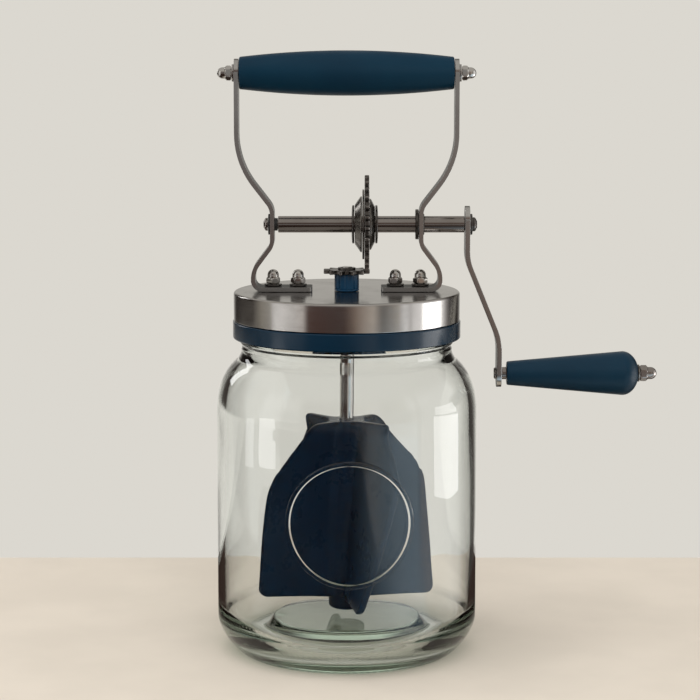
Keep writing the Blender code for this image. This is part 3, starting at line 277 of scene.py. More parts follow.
@dataclass(frozen=True)
class Steel(Finish):
    """Metal with fine lines, smudges and a rougher or smoother polish."""

    colour: Triple = (0.56, 0.54, 0.52)
    dull: Triple = (0.44, 0.42, 0.40)
    roughness: float = 0.28
    spread: float = 0.14
    grain: Grain = Grain.AROUND
    lines: float = 2600.0
    line_sway: float = 2.5
    line_length: float = 22.0
    pits: float = 900.0
    smudges: float = 60.0
    smudge_range: Point = (0.35, 0.75)
    smudge_share: float = 0.55
    line_share: float = 0.25
    relief: float = 0.010 * MM
    worn_from: float = 0.0
    worn_to: float = 0.0
    worn: Triple = (0.55, 0.53, 0.50)
    chips: float = 500.0
    glancing: float = 0.70

    def texture(self, tree: NodeTree, spot: Sock, reach: Sock) -> Sock:
        """Stretch the coordinates so that noise on them runs as the grain does.

        Args:
            tree: the material's nodes.
            spot: coordinates about the piece's axis.
            reach: distance from that axis.

        Returns:
            The stretched coordinates.
        """
        x, y, z = tree.parts(spot)
        if self.grain is Grain.AROUND:
            way_x, way_y = (side / (reach + 0.1 * MM) * self.line_sway for side in (x, y))
            return tree.joined(reach * self.lines + way_x, z * self.lines + way_y, 0.0)
        if self.grain is Grain.ACROSS_WIDTH:
            return tree.joined(y * self.lines, (x + z) * self.line_length, 0.0)
        return tree.joined(x * self.pits, y * self.pits, z * self.pits)

    def shader(self, tree: NodeTree) -> Sock:
        """Lines in roughness and relief, smudges in colour, wear towards the rim.

        Args:
            tree: the material's nodes.

        Returns:
            The surface.
        """
        spot = tree.placed(self.centre, self.axis.value)
        x, y, _ = tree.parts(spot)
        reach = (x * x + y * y) ** 0.5
        line = tree.noise(self.texture(tree, spot, reach), 1.0, 2.0)
        smudge = tree.noise(spot, self.smudges, 4.0).ramp(*self.smudge_range)
        dulled = smudge * self.smudge_share + line * self.line_share
        colour = tree.mixed(dulled, self.colour, self.dull)
        if self.worn_to:
            chip = tree.noise(spot, self.chips, 2.0).ramp(0.3, 0.6)
            colour = tree.mixed(reach.ramp(self.worn_from, self.worn_to) * chip, colour, self.worn)
        rough = self.roughness + (line - 0.5) * self.spread + (smudge - 0.5) * (self.spread * 0.6)
        return tree.add("ShaderNodeBsdfPrincipled", None, {
            "Base Color": colour, "Metallic": 1.0, "Roughness": rough,
            "Specular Tint": (self.glancing, self.glancing, self.glancing, 1.0),
            "Normal": tree.bump(line, self.relief),
        })


@dataclass(frozen=True)
class Moulded(Finish):
    """Moulded or lacquered plastic and rubber: a coloured skin with a fine texture."""

    colour: Triple = (0.01, 0.03, 0.05)
    shade: Triple = (0.006, 0.02, 0.035)
    roughness: float = 0.4
    spread: float = 0.1
    clouds: float = 28.0
    cloud_range: Point = (0.3, 0.72)
    handling: float = 75.0
    handled_range: Point = (0.4, 0.7)
    texture: float = 900.0
    relief: float = 0.02 * MM
    specular: float = 0.5

    def shader(self, tree: NodeTree) -> Sock:
        """A cloudy colour, handled patches in the gloss, and a fine skin relief.

        Args:
            tree: the material's nodes.

        Returns:
            The surface.
        """
        spot = tree.placed(self.centre, self.axis.value)
        cloud = tree.noise(spot, self.clouds, 4.0).ramp(*self.cloud_range)
        speck = tree.noise(spot, self.texture, 3.0)
        handled = tree.noise(spot, self.handling, 5.0).ramp(*self.handled_range)
        rough = self.roughness + (handled - 0.5) * self.spread + (speck - 0.5) * (self.spread * 0.5)
        return tree.add("ShaderNodeBsdfPrincipled", None, {
            "Base Color": tree.mixed(cloud, self.colour, self.shade), "Roughness": rough,
            "Specular IOR Level": self.specular, "Normal": tree.bump(speck, self.relief),
        })


@dataclass(frozen=True)
class JarGlass(Finish):
    """Clear pressed glass that lets the lamps' light through to what it holds."""

    tint: Triple = (0.990, 0.996, 0.992)
    lamp_tint: Triple = (0.93, 0.95, 0.935)
    body: Triple = (0.62, 0.80, 0.66)
    depth: float = 11.0
    index: float = 1.5
    ticks: float = 110.0
    tick_range: Point = (0.2, 0.9)
    ticks_from: float = 57.0 * MM
    ticks_to: float = 63.5 * MM
    ticks_top: float = 5.0 * MM
    waves: Triple = (55.0, 55.0, 24.0)
    wave_share: float = 0.18
    relief: float = 0.8 * MM

    def shader(self, tree: NodeTree) -> Sock:
        """Glass with a ring of fine ticks under the heel and slow waves from the mould.

        Args:
            tree: the material's nodes.

        Returns:
            The surface.
        """
        spot = tree.placed(self.centre, self.axis.value)
        x, y, z = tree.parts(spot)
        reach = (x * x + y * y) ** 0.5
        tick = (y.math("ARCTAN2", x) * self.ticks).math("SINE").ramp(*self.tick_range)
        ring = reach.ramp(self.ticks_from, self.ticks_from + MM) * (
            1.0 - reach.ramp(self.ticks_to - MM, self.ticks_to))
        under = 1.0 - z.ramp(self.ticks_top - MM, self.ticks_top)
        stretched = tree.joined(*(side * many for side, many in zip((x, y, z), self.waves)))
        wave = tree.noise(stretched, 1.0, 1.0)
        normal = tree.bump(tick * ring * under + wave * self.wave_share, self.relief, 0.6)
        glass = tree.add("ShaderNodeBsdfPrincipled", None, {
            "Base Color": (*self.tint, 1.0), "Roughness": 0.0, "IOR": self.index,
            "Transmission Weight": 1.0, "Normal": normal,
        })
        clear = tree.add("ShaderNodeBsdfTransparent", None, {"Color": (*self.lamp_tint, 1.0)})
        return tree.between(tree.path("Is Shadow Ray"), glass, clear)

    def filling(self, tree: NodeTree) -> dict[str, Sock]:
        """Faint green that shows where the glass is seen edgewise."""
        return {"Volume": tree.add("ShaderNodeVolumeAbsorption", None,
                                   {"Color": (*self.body, 1.0), "Density": self.depth})}


@dataclass(frozen=True)
class StudioFloor(Finish):
    """Pale floor that turns into the plain backdrop behind the object.

    Polished pieces mirror a painted reflection. Past the pale sheet that the object stands on,
    the floor shows mirrored rays alone a darker table colour. Towards the crank a glowing patch
    of painted sheen shows, and beyond the table's edge, the room.
    """

    near: Triple = (0.70, 0.63, 0.54)
    far: Triple = (0.71, 0.685, 0.63)
    flecks: float = 14.0
    fleck_shade: float = 0.94
    roughness: float = 0.75
    edge: float = 0.221
    # Painted reflection: a darker table colour that only mirrored rays see, past the pale sheet.
    reflected_table: Triple = (0.034, 0.022, 0.018)
    sheet: float = 0.09
    sheet_blend: float = 0.05
    reflected_table_right: float = 0.15
    right_blend: float = 0.04
    reflected_table_edge: float = 1.1
    edge_blend: float = 0.3
    # Painted sheen: an emitting patch towards the crank that only mirrored rays see, a painted reflection of
    # daylight.
    painted_sheen: Triple = (0.92, 1.10, 1.22)
    shine_start: Point = (0.04, 0.95)
    shine_end: Point = (1.05, 1.2)
    shine_reach: Point = (0.12, 0.2)
    shine_fade: float = 0.1

    def shader(self, tree: NodeTree) -> Sock:
        """A matt floor up to the edge, and beyond it the backdrop's even colour.

        Args:
            tree: the material's nodes.

        Returns:
            The surface.
        """
        spot = tree.placed(self.centre, self.axis.value)
        x, y, _ = tree.parts(spot)
        away = (x * x + y * y) ** 0.5
        mirrored = tree.mirrored()
        fleck = tree.noise(spot, self.flecks, 4.0).ramp(0.3, 0.7)
        shade = tree.mixed(fleck, self.near, tuple(self.fleck_shade * c for c in self.near))
        # Painted reflection: past the sheet, mirrored rays get the darker table colour, which the camera
        # never sees.
        reflected_table_mask = mirrored * away.ramp(self.sheet, self.sheet + self.sheet_blend)
        floor = tree.add("ShaderNodeBsdfPrincipled", None, {
            "Base Color": tree.mixed(reflected_table_mask, shade, self.reflected_table), "Roughness": self.roughness,
            "Specular IOR Level": 0.0,
        })
        plain, painted_sheen = (
            tree.add("ShaderNodeEmission", None, {"Color": (*colour, 1.0), "Strength": 1.0})
            for colour in (self.far, self.painted_sheen)
        )
        whole = tree.between(y.ramp(self.edge, self.edge + 2.0 * MM), floor, plain)
        past = x.ramp(self.reflected_table_right, self.reflected_table_right + self.right_blend)
        past += away.ramp(self.reflected_table_edge, self.reflected_table_edge + self.edge_blend)
        room = tree.add("ShaderNodeBsdfTransparent")
        reflected_table = tree.between(mirrored * past.capped(), whole, room)
        # Painted reflection: the patch glows by emission, not by a lamp, and shows in polished and glass
        # surfaces alone.
        around = x.math("ARCTAN2", 0.0 - y)
        lit = around.ramp(*self.shine_start) * (1.0 - around.ramp(*self.shine_end))
        lit = mirrored * lit * away.ramp(*self.shine_reach)
        lit *= 1.0 - away.ramp(self.reflected_table_edge - self.shine_fade, self.reflected_table_edge + self.shine_fade)
        return tree.between(lit, reflected_table, painted_sheen)


GRIP_BLUE = {"colour": (0.0008, 0.0200, 0.0400), "shade": (0.0006, 0.0165, 0.0340)}
GEAR_GREY = {
    "colour": (0.16, 0.15, 0.14), "dull": (0.08, 0.07, 0.064), "worn": (0.30, 0.28, 0.26),
    "roughness": 0.33, "relief": 0.03 * MM, "grain": Grain.CAST,
}
ON_SHAFT = {"centre": (0.0, 0.0, SHAFT), "axis": Axis.SIDEWAYS}


@dataclass(frozen=True)
class Palette:
    """Every finish of the churn."""

    glass: Finish = JarGlass("jar_clear_glass", "clear_glass")
    spun: Finish = Steel("lid_spun_steel", "brushed_steel", roughness=0.16, spread=0.09,
                         relief=0.006 * MM, glancing=0.62)
    bar: Finish = Steel(
        "bar_brushed_steel", "brushed_steel", colour=(0.62, 0.61, 0.59), dull=(0.50, 0.49, 0.47),
        grain=Grain.ACROSS_WIDTH, roughness=0.17, spread=0.08, glancing=0.1)
    plain: Finish = Steel("turned_steel", "brushed_steel", colour=(0.25, 0.235, 0.215),
                          dull=(0.15, 0.14, 0.13), roughness=0.24, **ON_SHAFT)
    small: Finish = Steel("small_parts_steel", "brushed_steel", grain=Grain.CAST, roughness=0.24)
    bright: Finish = Steel(
        "polished_steel_small", "polished_steel", grain=Grain.CAST, colour=(0.66, 0.64, 0.61),
        dull=(0.56, 0.54, 0.51), roughness=0.09, spread=0.06, relief=0.002 * MM)
    axle: Finish = Steel(
        "polished_axle_steel", "polished_steel", colour=(0.36, 0.33, 0.31), dull=(0.27, 0.24, 0.22),
        roughness=0.15, spread=0.10, relief=0.004 * MM, **ON_SHAFT)
    stem: Finish = Steel("polished_stem_steel", "polished_steel", colour=(0.66, 0.64, 0.62),
                         roughness=0.12, spread=0.08, relief=0.003 * MM)
    dark: Finish = Steel(
        "dark_small_steel", "dark_steel", grain=Grain.CAST, colour=(0.15, 0.14, 0.13),
        dull=(0.08, 0.072, 0.066), roughness=0.34, relief=0.02 * MM)
    gear: Finish = Steel("dark_gear_steel", "dark_steel", worn_from=24.5 * MM, worn_to=27.5 * MM,
                         **GEAR_GREY, **ON_SHAFT)
    pinion: Finish = Steel("dark_pinion_steel", "dark_steel", worn_from=10.5 * MM, worn_to=13.4 * MM,
                           **GEAR_GREY)
    sleeve: Finish = Steel("sleeve_burnished_steel", "brushed_steel", colour=(0.12, 0.11, 0.10),
                           dull=(0.07, 0.065, 0.06), roughness=0.28, **ON_SHAFT)
    dished: Finish = Steel(
        "dished_burnished_steel", "polished_steel", colour=(0.14, 0.13, 0.12), dull=(0.09, 0.085, 0.08),
        roughness=0.22, relief=0.005 * MM, **ON_SHAFT)
    top_blue: Finish = Moulded("top_grip_blue", "grip_plastic", (0.0, 0.0, TOP_GRIP), Axis.SIDEWAYS,
                               roughness=0.46, specular=0.14, **GRIP_BLUE)
    side_blue: Finish = Moulded("side_grip_blue", "grip_plastic", (0.0, 0.0, SIDE_GRIP), Axis.SIDEWAYS,
                                roughness=0.42, specular=0.22, **GRIP_BLUE)
    collar: Finish = Moulded(
        "collar_blue", "blue_plastic", colour=(0.0010, 0.0165, 0.0360), shade=(0.0008, 0.0140, 0.0310),
        roughness=0.20, spread=0.06, relief=0.004 * MM, specular=0.4)
    bush: Finish = Moulded(
        "bush_blue", "blue_plastic", colour=(0.0040, 0.0420, 0.0920), shade=(0.0030, 0.0350, 0.0780),
        roughness=0.24, spread=0.06, relief=0.004 * MM, specular=0.4)
    silicone: Finish = Moulded(
        "vane_blue", "blue_silicone", colour=(0.0024, 0.0270, 0.0680), shade=(0.0018, 0.0220, 0.0560),
        roughness=0.32, specular=0.12, texture=420.0, relief=0.008 * MM)
    rubber: Finish = Moulded("seal_pale", "seal_rubber", colour=(0.62, 0.62, 0.60),
                             shade=(0.55, 0.55, 0.53), roughness=0.6)
    black: Finish = Moulded("sleeve_black", "black_plastic", colour=(0.012, 0.012, 0.012),
                            shade=(0.02, 0.02, 0.02), roughness=0.4)


# Mesh tools


def rounded(corners: Sequence[Corner], closed: bool = False, facet: float = 0.24) -> list[Point]:
    """Replace each corner that has a radius by an arc.

    Args:
        corners: two coordinates each, with a radius where the corner is rounded.
        closed: whether the last corner joins the first.
        facet: the largest turn between two points of an arc.

    Returns:
        The outline's points.
    """
    count = len(corners)
    points: list[Point] = []
    for i, corner in enumerate(corners):
        here = Vector(corner[:2])
        back, ahead = (Vector(corners[j % count][:2]) - here for j in (i - 1, i + 1))
        half = math.acos(max(-1.0, min(1.0, back.normalized().dot(ahead.normalized())))) / 2.0
        inner = closed or 0 < i < count - 1
        if not inner or len(corner) < 3 or corner[2] <= 0.0 or half > STRAIGHT:
            points.append((here.x, here.y))
            continue
        run = min(corner[2] / math.tan(half), 0.49 * back.length, 0.49 * ahead.length)
        radius = run * math.tan(half)
        first, last = here + back.normalized() * run, here + ahead.normalized() * run
        centre = here + (back.normalized() + ahead.normalized()).normalized() * (radius / math.sin(half))
        steps = max(1, math.ceil((math.pi - 2.0 * half) / facet))
        start, sweep = first - centre, (first - centre).angle_signed(last - centre)
        for step in range(steps + 1):
            arm = start.copy()
            arm.rotate(Matrix.Rotation(-sweep * step / steps, 2))
            points.append((centre.x + arm.x, centre.y + arm.y))
    return points


def bezier(start: Point, handle_a: Point, handle_b: Point, end: Point, steps: int) -> list[Point]:
    """Draw one cubic curve.

    Args:
        start: its first point.
        handle_a: the handle of the first point.
        handle_b: the handle of the last point.
        end: its last point.
        steps: how many points it has after the first.

    Returns:
        The points after the first.
    """
    points = []
    for i in range(1, steps + 1):
        t = i / steps
        weights = ((1 - t) ** 3, 3 * t * (1 - t) ** 2, 3 * t * t * (1 - t), t ** 3)
        corners = (start, handle_a, handle_b, end)
        points.append(tuple(sum(w * c[k] for w, c in zip(weights, corners)) for k in (0, 1)))
    return points


def superellipse(centre: Point, reach: float, drop: float, fullness: float, steps: int) -> list[Point]:
    """Draw a quarter of a superellipse.

    Args:
        centre: its centre.
        reach: half width.
        drop: half height.
        fullness: its power, 2 for an ellipse and less for a flatter curve.
        steps: how many steps it has.

    Returns:
        Points from straight below the centre to straight out from it.
    """
    x, y = centre
    power = 2.0 / fullness
    angles = (QUARTER * i / steps for i in range(steps + 1))
    return [(x + reach * math.sin(a) ** power, y - drop * math.cos(a) ** power) for a in angles]


def spaced(start: float, end: float, steps: int) -> list[float]:
    """Even steps from the start to the end, without the start."""
    return [start + (end - start) * i / steps for i in range(1, steps + 1)]


def eased(value: float, start: float, end: float) -> float:
    """Rise smoothly from 0 at the start to 1 at the end, which may lie below it."""
    share = min(1.0, max(0.0, (value - start) / (end - start)))
    return share * share * (3.0 - 2.0 * share)


def polar(radius: float, angle: float) -> Point:
    """The point at a radius and an angle."""
    return radius * math.cos(angle), radius * math.sin(angle)


def circle(radius: float, height: float, sides: int = 48, phase: float = 0.0) -> list[Triple]:
    """Points around a circle at a height."""
    return [(*polar(radius, phase + TURN * i / sides), height) for i in range(sides)]


def hexagon(flats: float, height: float, limit: float = WHOLE, sides: int = 48) -> list[Triple]:
    """Trace a hexagon.

    Args:
        flats: size across its flats.
        height: where it lies.
        limit: the radius that its corners are turned down to.
        sides: how many points there are around it.

    Returns:
        The points.
    """
    points = []
    for angle in (TURN * i / sides for i in range(sides)):
        off = (angle + TURN / 12.0) % (TURN / 6.0) - TURN / 12.0
        radius = min(flats / 2.0 / math.cos(TURN / 12.0 - abs(off)), limit)
        points.append((*polar(radius, angle), height))
    return points


def bridge(bm: Form, low: Sequence[bmesh.types.BMVert], high: Sequence[bmesh.types.BMVert],
           start: int = 0) -> None:
    """Join two rings of vertices by faces.

    Args:
        bm: their mesh.
        low: the first ring, or a single vertex.
        high: the second ring, or a single vertex.
        start: the first span that gets a face.
    """
    count = max(len(low), len(high))
    for i in range(start, count):
        j = (i + 1) % count
        corners = [low[i % len(low)], low[j % len(low)], high[j % len(high)], high[i % len(high)]]
        face = list(dict.fromkeys(corners))
        if len(face) > 2:
            bm.faces.new(face)


def grid(rings: Sequence[Sequence[Triple]], ends: bool = False) -> Form:
    """Join rings by faces.

    Args:
        rings: points of each ring, in order. A ring may be a single point.
        ends: whether the first and last rings are filled, else they join each other.

    Returns:
        The mesh.
    """
    bm = bmesh.new()
    loops = [[bm.verts.new(point) for point in ring] for ring in rings]
    for low, high in zip(loops, loops[1:] if ends else loops[1:] + loops[:1]):
        bridge(bm, low, high)
    if ends:
        bm.faces.new(loops[0])
        bm.faces.new(loops[-1])
    return bm


def turned(outline: Sequence[Point], sides: int = 64) -> Form:
    """Revolve an outline of radius and height, closed or from axis to axis, about Z."""
    return grid([circle(radius, height, sides) if radius > ON_AXIS else [(0.0, 0.0, height)]
                 for radius, height in outline])


def lathed(*corners: Corner, sides: int = 64, facet: float = 0.24) -> Form:
    """Revolve corners of radius and height, each with its own radius where it is rounded, about Z."""
    return turned(rounded(corners, corners[0][0] > ON_AXIS, facet), sides)


def laid(bm: Form, x: float, z: float, flip: bool = False) -> Form:
    """Lay a form along +X, or along -X, with its foot at X and its axis at height Z."""
    bm.transform(Matrix.Translation((x, 0.0, z)) @ Matrix.Rotation(-QUARTER if flip else QUARTER, 4, "Y"))
    return bm


def raised(bm: Form, x: float, z: float) -> Form:
    """Move a form along X and Z."""
    bmesh.ops.translate(bm, verts=bm.verts, vec=(x, 0.0, z))
    return bm


def merged(*forms: Form) -> Form:
    """Put several forms into the first one's mesh.

    Args:
        forms: the forms. All but the first are used up.

    Returns:
        The first form.
    """
    first, *others = forms
    for form in others:
        spare = bpy.data.meshes.new("spare")
        form.to_mesh(spare)
        first.from_mesh(spare)
        bpy.data.meshes.remove(spare)
        form.free()
    return first


def outward(bm: Form, name: str) -> bpy.types.Mesh:
    """Close a form's seams and turn its faces outwards.

    Args:
        bm: the form, which is used up.
        name: the mesh's name.

    Returns:
        The mesh.
    """
    bmesh.ops.remove_doubles(bm, verts=bm.verts, dist=0.0005 * MM)
    bmesh.ops.recalc_face_normals(bm, faces=bm.faces)
    mesh = bpy.data.meshes.new(name)
    bm.to_mesh(mesh)
    bm.free()
    return mesh


def linked(name: str, data: bpy.types.ID) -> bpy.types.Object:
    """Set a new object into the scene.

    Args:
        name: its name.
        data: its mesh, lamp or camera.

    Returns:
        The object.
    """
    thing = bpy.data.objects.new(name, data)
    bpy.context.collection.objects.link(thing)
    return thing


def baked(mesh: bpy.types.Mesh, name: str, *steps: tuple[str, dict]) -> bpy.types.Mesh:
    """Run modifiers over a mesh and give the plain result.

    Args:
        mesh: what they work on.
        name: the result's name.
        steps: each modifier's type and its settings.

    Returns:
        The new mesh.
    """
    worker = linked(name + "_work", mesh)
    for kind, settings in steps:
        modifier = worker.modifiers.new(kind.lower(), kind)
        for key, value in settings.items():
            if isinstance(value, dict):
                for identifier, given in value.items():
                    modifier[identifier] = given
            else:
                setattr(modifier, key, value)
    bpy.context.view_layer.update()
    worker.update_tag()
    graph = bpy.context.evaluated_depsgraph_get()
    result = bpy.data.meshes.new_from_object(worker.evaluated_get(graph))
    result.name = name
    bpy.data.objects.remove(worker, do_unlink=True)
    return result


def drill(radius: float, x: float, z: float, upright: bool = False) -> Form:
    """Cutter for a round hole through a flat bar, along X or, where it is upright, along Z."""
    form = turned([(0.0, -DRILL), (radius, -DRILL), (radius, DRILL), (0.0, DRILL)], 48)
    return raised(form, x, z) if upright else laid(form, x, z)


def holed(bm: Form, cutters: Sequence[Form], name: str, edge: float) -> bpy.types.Mesh:
    """Cut holes and break the sharp edges.

    Args:
        bm: the plain form.
        cutters: closed forms that are taken away.
        name: the result's name.
        edge: the width of the bevel.

    Returns:
        The finished mesh.
    """
    labels = [f"{name}_cutter_{i}" for i in range(len(cutters))]
    tools = [linked(label, outward(cutter, label)) for label, cutter in zip(labels, cutters)]
    steps = [("BOOLEAN", {"operation": "DIFFERENCE", "object": tool, "solver": "EXACT"}) for tool in tools]
    bevel = {"width": edge, "segments": 4, "limit_method": "ANGLE", "angle_limit": math.radians(42.0)}
    result = baked(outward(bm, name + "_plain"), name, *steps, ("BEVEL", bevel))
    for tool in tools:
        bpy.data.objects.remove(tool, do_unlink=True)
    return result


# Geometry nodes


class GeometryTree(NodeTree):
    """A geometry modifier with named inputs."""

    KINDS = {int: "NodeSocketInt", float: "NodeSocketFloat"}

    def __init__(self, name: str, **inputs: type) -> None:
        """Make a group whose inputs are a mesh, the given sizes and a material.

        Args:
            name: the group's name.
            inputs: each size's name and type.
        """
        group = bpy.data.node_groups.new(name, "GeometryNodeTree")
        super().__init__(group)
        face = group.interface
        face.new_socket("Piece", in_out="INPUT", socket_type="NodeSocketGeometry")
        self.keys = {
            label: face.new_socket(label, in_out="INPUT", socket_type=self.KINDS[kind]).identifier
            for label, kind in inputs.items()
        }
        self.keys["Finish"] = face.new_socket(
            "Finish", in_out="INPUT", socket_type="NodeSocketMaterial").identifier
        face.new_socket("Result", in_out="OUTPUT", socket_type="NodeSocketGeometry")
        self.given = group.nodes.new("NodeGroupInput")

    def input(self, label: str) -> Sock:
        """One of the group's named inputs."""
        return Sock(self, self.given.outputs[label])

    def line(self, count: "Sock | int") -> Sock:
        """Points that all lie at the origin."""
        return self.add("GeometryNodeMeshLine", None, {"Count": count, "Offset": (0.0, 0.0, 0.0)})

    def close(self, points: Sock, angle: Sock, weld: float = 0.0) -> None:
        """Set the piece at each point, realize and finish the copies, and end the tree.

        Args:
            points: where the copies stand.
            angle: how far each is turned about Z.
            weld: the distance within which the copies' points are joined.
        """
        copies = self.add("GeometryNodeInstanceOnPoints", None, {
            "Points": points, "Instance": self.input("Piece"), "Rotation": self.joined(0.0, 0.0, angle)})
        mesh = self.add("GeometryNodeRealizeInstances", None, {0: copies})
        if weld:
            mesh = self.add("GeometryNodeMergeByDistance", None, {"Geometry": mesh, "Distance": weld})
        mesh = self.add("GeometryNodeSetMaterial", None,
                        {"Geometry": mesh, "Material": self.input("Finish")})
        end = self.tree.nodes.new("NodeGroupOutput")
        self.tree.links.new(mesh.socket, end.inputs[0])

    def run(self, mesh: bpy.types.Mesh, name: str, finish: Finish, **sizes: float) -> bpy.types.Mesh:
        """Run the tree over a mesh.

        Args:
            mesh: the piece that repeats.
            name: the result's name.
            finish: its finish.
            sizes: a value for each named input.

        Returns:
            The plain mesh.
        """
        values = {self.keys[label]: value for label, value in sizes.items()}
        values[self.keys["Finish"]] = finish.material()
        return baked(mesh, name, ("NODES", {"node_group": self.tree, "inputs": values}))


@cache
def sectors_tree() -> GeometryTree:
    """Tree that repeats one sector about Z and welds the copies into a closed ring.

    Returns:
        The tree.
    """
    tree = GeometryTree("sectors_about_axis", Copies=int)
    points = tree.line(tree.input("Copies"))
    tree.close(points, tree.add("GeometryNodeInputIndex") * TURN / tree.input("Copies"), 0.002 * MM)
    return tree


@cache
def feet_tree() -> GeometryTree:
    """Tree that sets a fastener at each hole of the two feet, four in all.

    Returns:
        The tree.
    """
    tree = GeometryTree("fasteners_of_feet", Inner=float, Spacing=float, Height=float)
    index = tree.add("GeometryNodeInputIndex")
    side = (index / 2.0).math("FLOOR") * 2.0 - 1.0
    x = side * (tree.input("Inner") + index.math("MODULO", 2.0) * tree.input("Spacing"))
    spots = tree.add("GeometryNodeSetPosition", None, {
        "Geometry": tree.line(4), "Position": tree.joined(x, 0.0, tree.input("Height"))})
    tree.close(spots, index * 0.37)
    return tree


# Shared pieces


@dataclass
class Assembly:
    """What the sub-assemblies share: how a finished mesh joins its CAD body."""

    body: str = "lid"
    look: Palette = Palette()

    def add(
        self, name: str, form: "Form | bpy.types.Mesh", finish: Finish,
        *nodes: str, body: str = "", sharp: float = 32.0,
    ) -> None:
        """Dress a form, set it on its body and report it.

        Args:
            name: the piece's name.
            form: its mesh, in place.
            finish: its finish.
            nodes: the CAD nodes that it stands for.
            body: the CAD body, where it isn't the assembly's own.
            sharp: the angle in degrees from which an edge shades sharp.
        """
        mesh = outward(form, name) if isinstance(form, Form) else form
        mesh.materials.clear()
        mesh.materials.append(finish.material())
        mesh.shade_smooth()
        mesh.set_sharp_from_angle(angle=math.radians(sharp))
        piece = linked(name, mesh)
        flat = piece.modifiers.new("even_normals", "WEIGHTED_NORMAL")
        flat.keep_sharp = True
        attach(piece, body or self.body)
        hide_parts(*nodes)
        log.info("%s: %d faces on %s, for %s", name, len(mesh.polygons), body or self.body, ", ".join(nodes))


@dataclass(frozen=True)
class AcornNut:
    """Domed nut on Z = 0 with its corners chamfered, closed over a short bore."""

    flats: float = 7.2 * MM
    hexed: float = 3.4 * MM
    height: float = 8.0 * MM
    dome: float = 3.2 * MM
    bore: float = 2.3 * MM

    def form(self) -> Form:
        """Make the nut.

        Returns:
            The form.
        """
        half = self.flats / 2.0
        rings = [circle(self.bore, 0.5 * self.height), circle(self.bore, 0.2 * MM),
                 circle(self.bore + 0.2 * MM, 0.0)]
        rings += [hexagon(self.flats, height, limit) for height, limit in (
            (0.0, 0.97 * half), (0.35 * MM, 1.06 * half), (0.6 * MM, WHOLE),
            (self.hexed - 0.75 * MM, WHOLE), (self.hexed - 0.4 * MM, 1.07 * half),
            (self.hexed - 0.05 * MM, 0.98 * half),
        )]
        rings += [circle(self.dome + 0.25 * MM, self.hexed), circle(self.dome, self.hexed + 0.25 * MM)]
        for step in range(7):
            reach, rise = polar(self.dome, QUARTER * step / 7.0)
            rings.append(circle(reach, self.height - self.dome + rise))
        return grid([*rings, circle(0.12 * MM, self.height)], ends=True)


@dataclass(frozen=True)
class SocketScrew:
    """Screw with a domed head on Z = 0, a hexagon socket in it and its shank below."""

    radius: float = 3.7 * MM
    height: float = 2.4 * MM
    shank: float = 1.4 * MM
    length: float = 9.0 * MM

    def form(self) -> Form:
        """Make the screw.

        Returns:
            The form.
        """
        tip = -self.length
        rings = [circle(radius, height) for radius, height in (
            (0.05 * MM, tip), (0.8 * self.shank, tip), (self.shank, tip + 0.4 * MM), (self.shank, 0.0),
            (self.radius - 0.1 * MM, 0.0), (self.radius, 0.15 * MM),
        )]
        for step in range(8):
            reach, rise = polar(1.0, QUARTER * step / 8.0)
            rings.append(circle(self.radius * max(reach, 0.52), self.height * (0.3 + 0.7 * rise)))
        rings += [hexagon(0.8 * self.radius, self.height * share) for share in (0.98, 0.35)]
        return grid([*rings, circle(0.05 * MM, self.height * 0.28)], ends=True)


def flat_washer(radius: float, bore: float, thick: float, sides: int = 64) -> Form:
    """Washer from Z = 0 up with broken edges."""
    corners = ((bore, 0.0), (radius, 0.0), (radius, thick), (bore, thick))
    return lathed(*((*corner, 0.18 * MM) for corner in corners), sides=sides)


def bar_end(half: float, corner: float, steps: int) -> list[Point]:
    """Distance from a bar's end and half width there, for its half width and a corner radius."""
    angles = [QUARTER * i / steps for i in range(0 if corner < half else 1, steps + 1)]
    return [(corner - corner * math.cos(a), half - corner + corner * math.sin(a)) for a in angles]


def bent_bar(corners: Sequence[Corner], width: float, thick: float, foot_corner: float = 0.0) -> Form:
    """Flat bar with a round last end, bent along a path in the XZ plane.

    Args:
        corners: X, Z and bend radius of each corner of the path.
        width: width along Y.
        thick: thickness.
        foot_corner: radius of the two corners of the first end. Without it that end is round too.

    Returns:
        The form, with sharp edges.
    """
    path = [Vector(point) for point in rounded(corners, facet=0.07)]
    lengths = [0.0]
    for a, b in zip(path, path[1:]):
        lengths.append(lengths[-1] + (b - a).length)
    half, gap = width / 2.0, 0.1 * MM
    ends = bar_end(half, half, 10)
    stations = bar_end(half, foot_corner, 5) if foot_corner else list(ends)
    start = stations[-1][0] + gap
    stations += [(s, half) for s in lengths if start < s < lengths[-1] - half - gap]
    stations += [(lengths[-1] - s, reach) for s, reach in reversed(ends)]
    rings = []
    for s, reach in stations:
        i = max(k for k in range(len(path) - 1) if lengths[k] <= s or k == 0)
        run = path[i + 1] - path[i]
        point = path[i] + run * ((s - lengths[i]) / run.length)
        before = path[i] - path[i - 1] if i and s - lengths[i] < ON_AXIS else run
        along = (run.normalized() + before.normalized()).normalized()
        normal = Vector((-along.y, along.x)) * (thick / 2.0)
        a, b = point + normal, point - normal
        rings.append([(a.x, -reach, a.y), (a.x, reach, a.y), (b.x, reach, b.y), (b.x, -reach, b.y)])
    return grid(rings, ends=True)


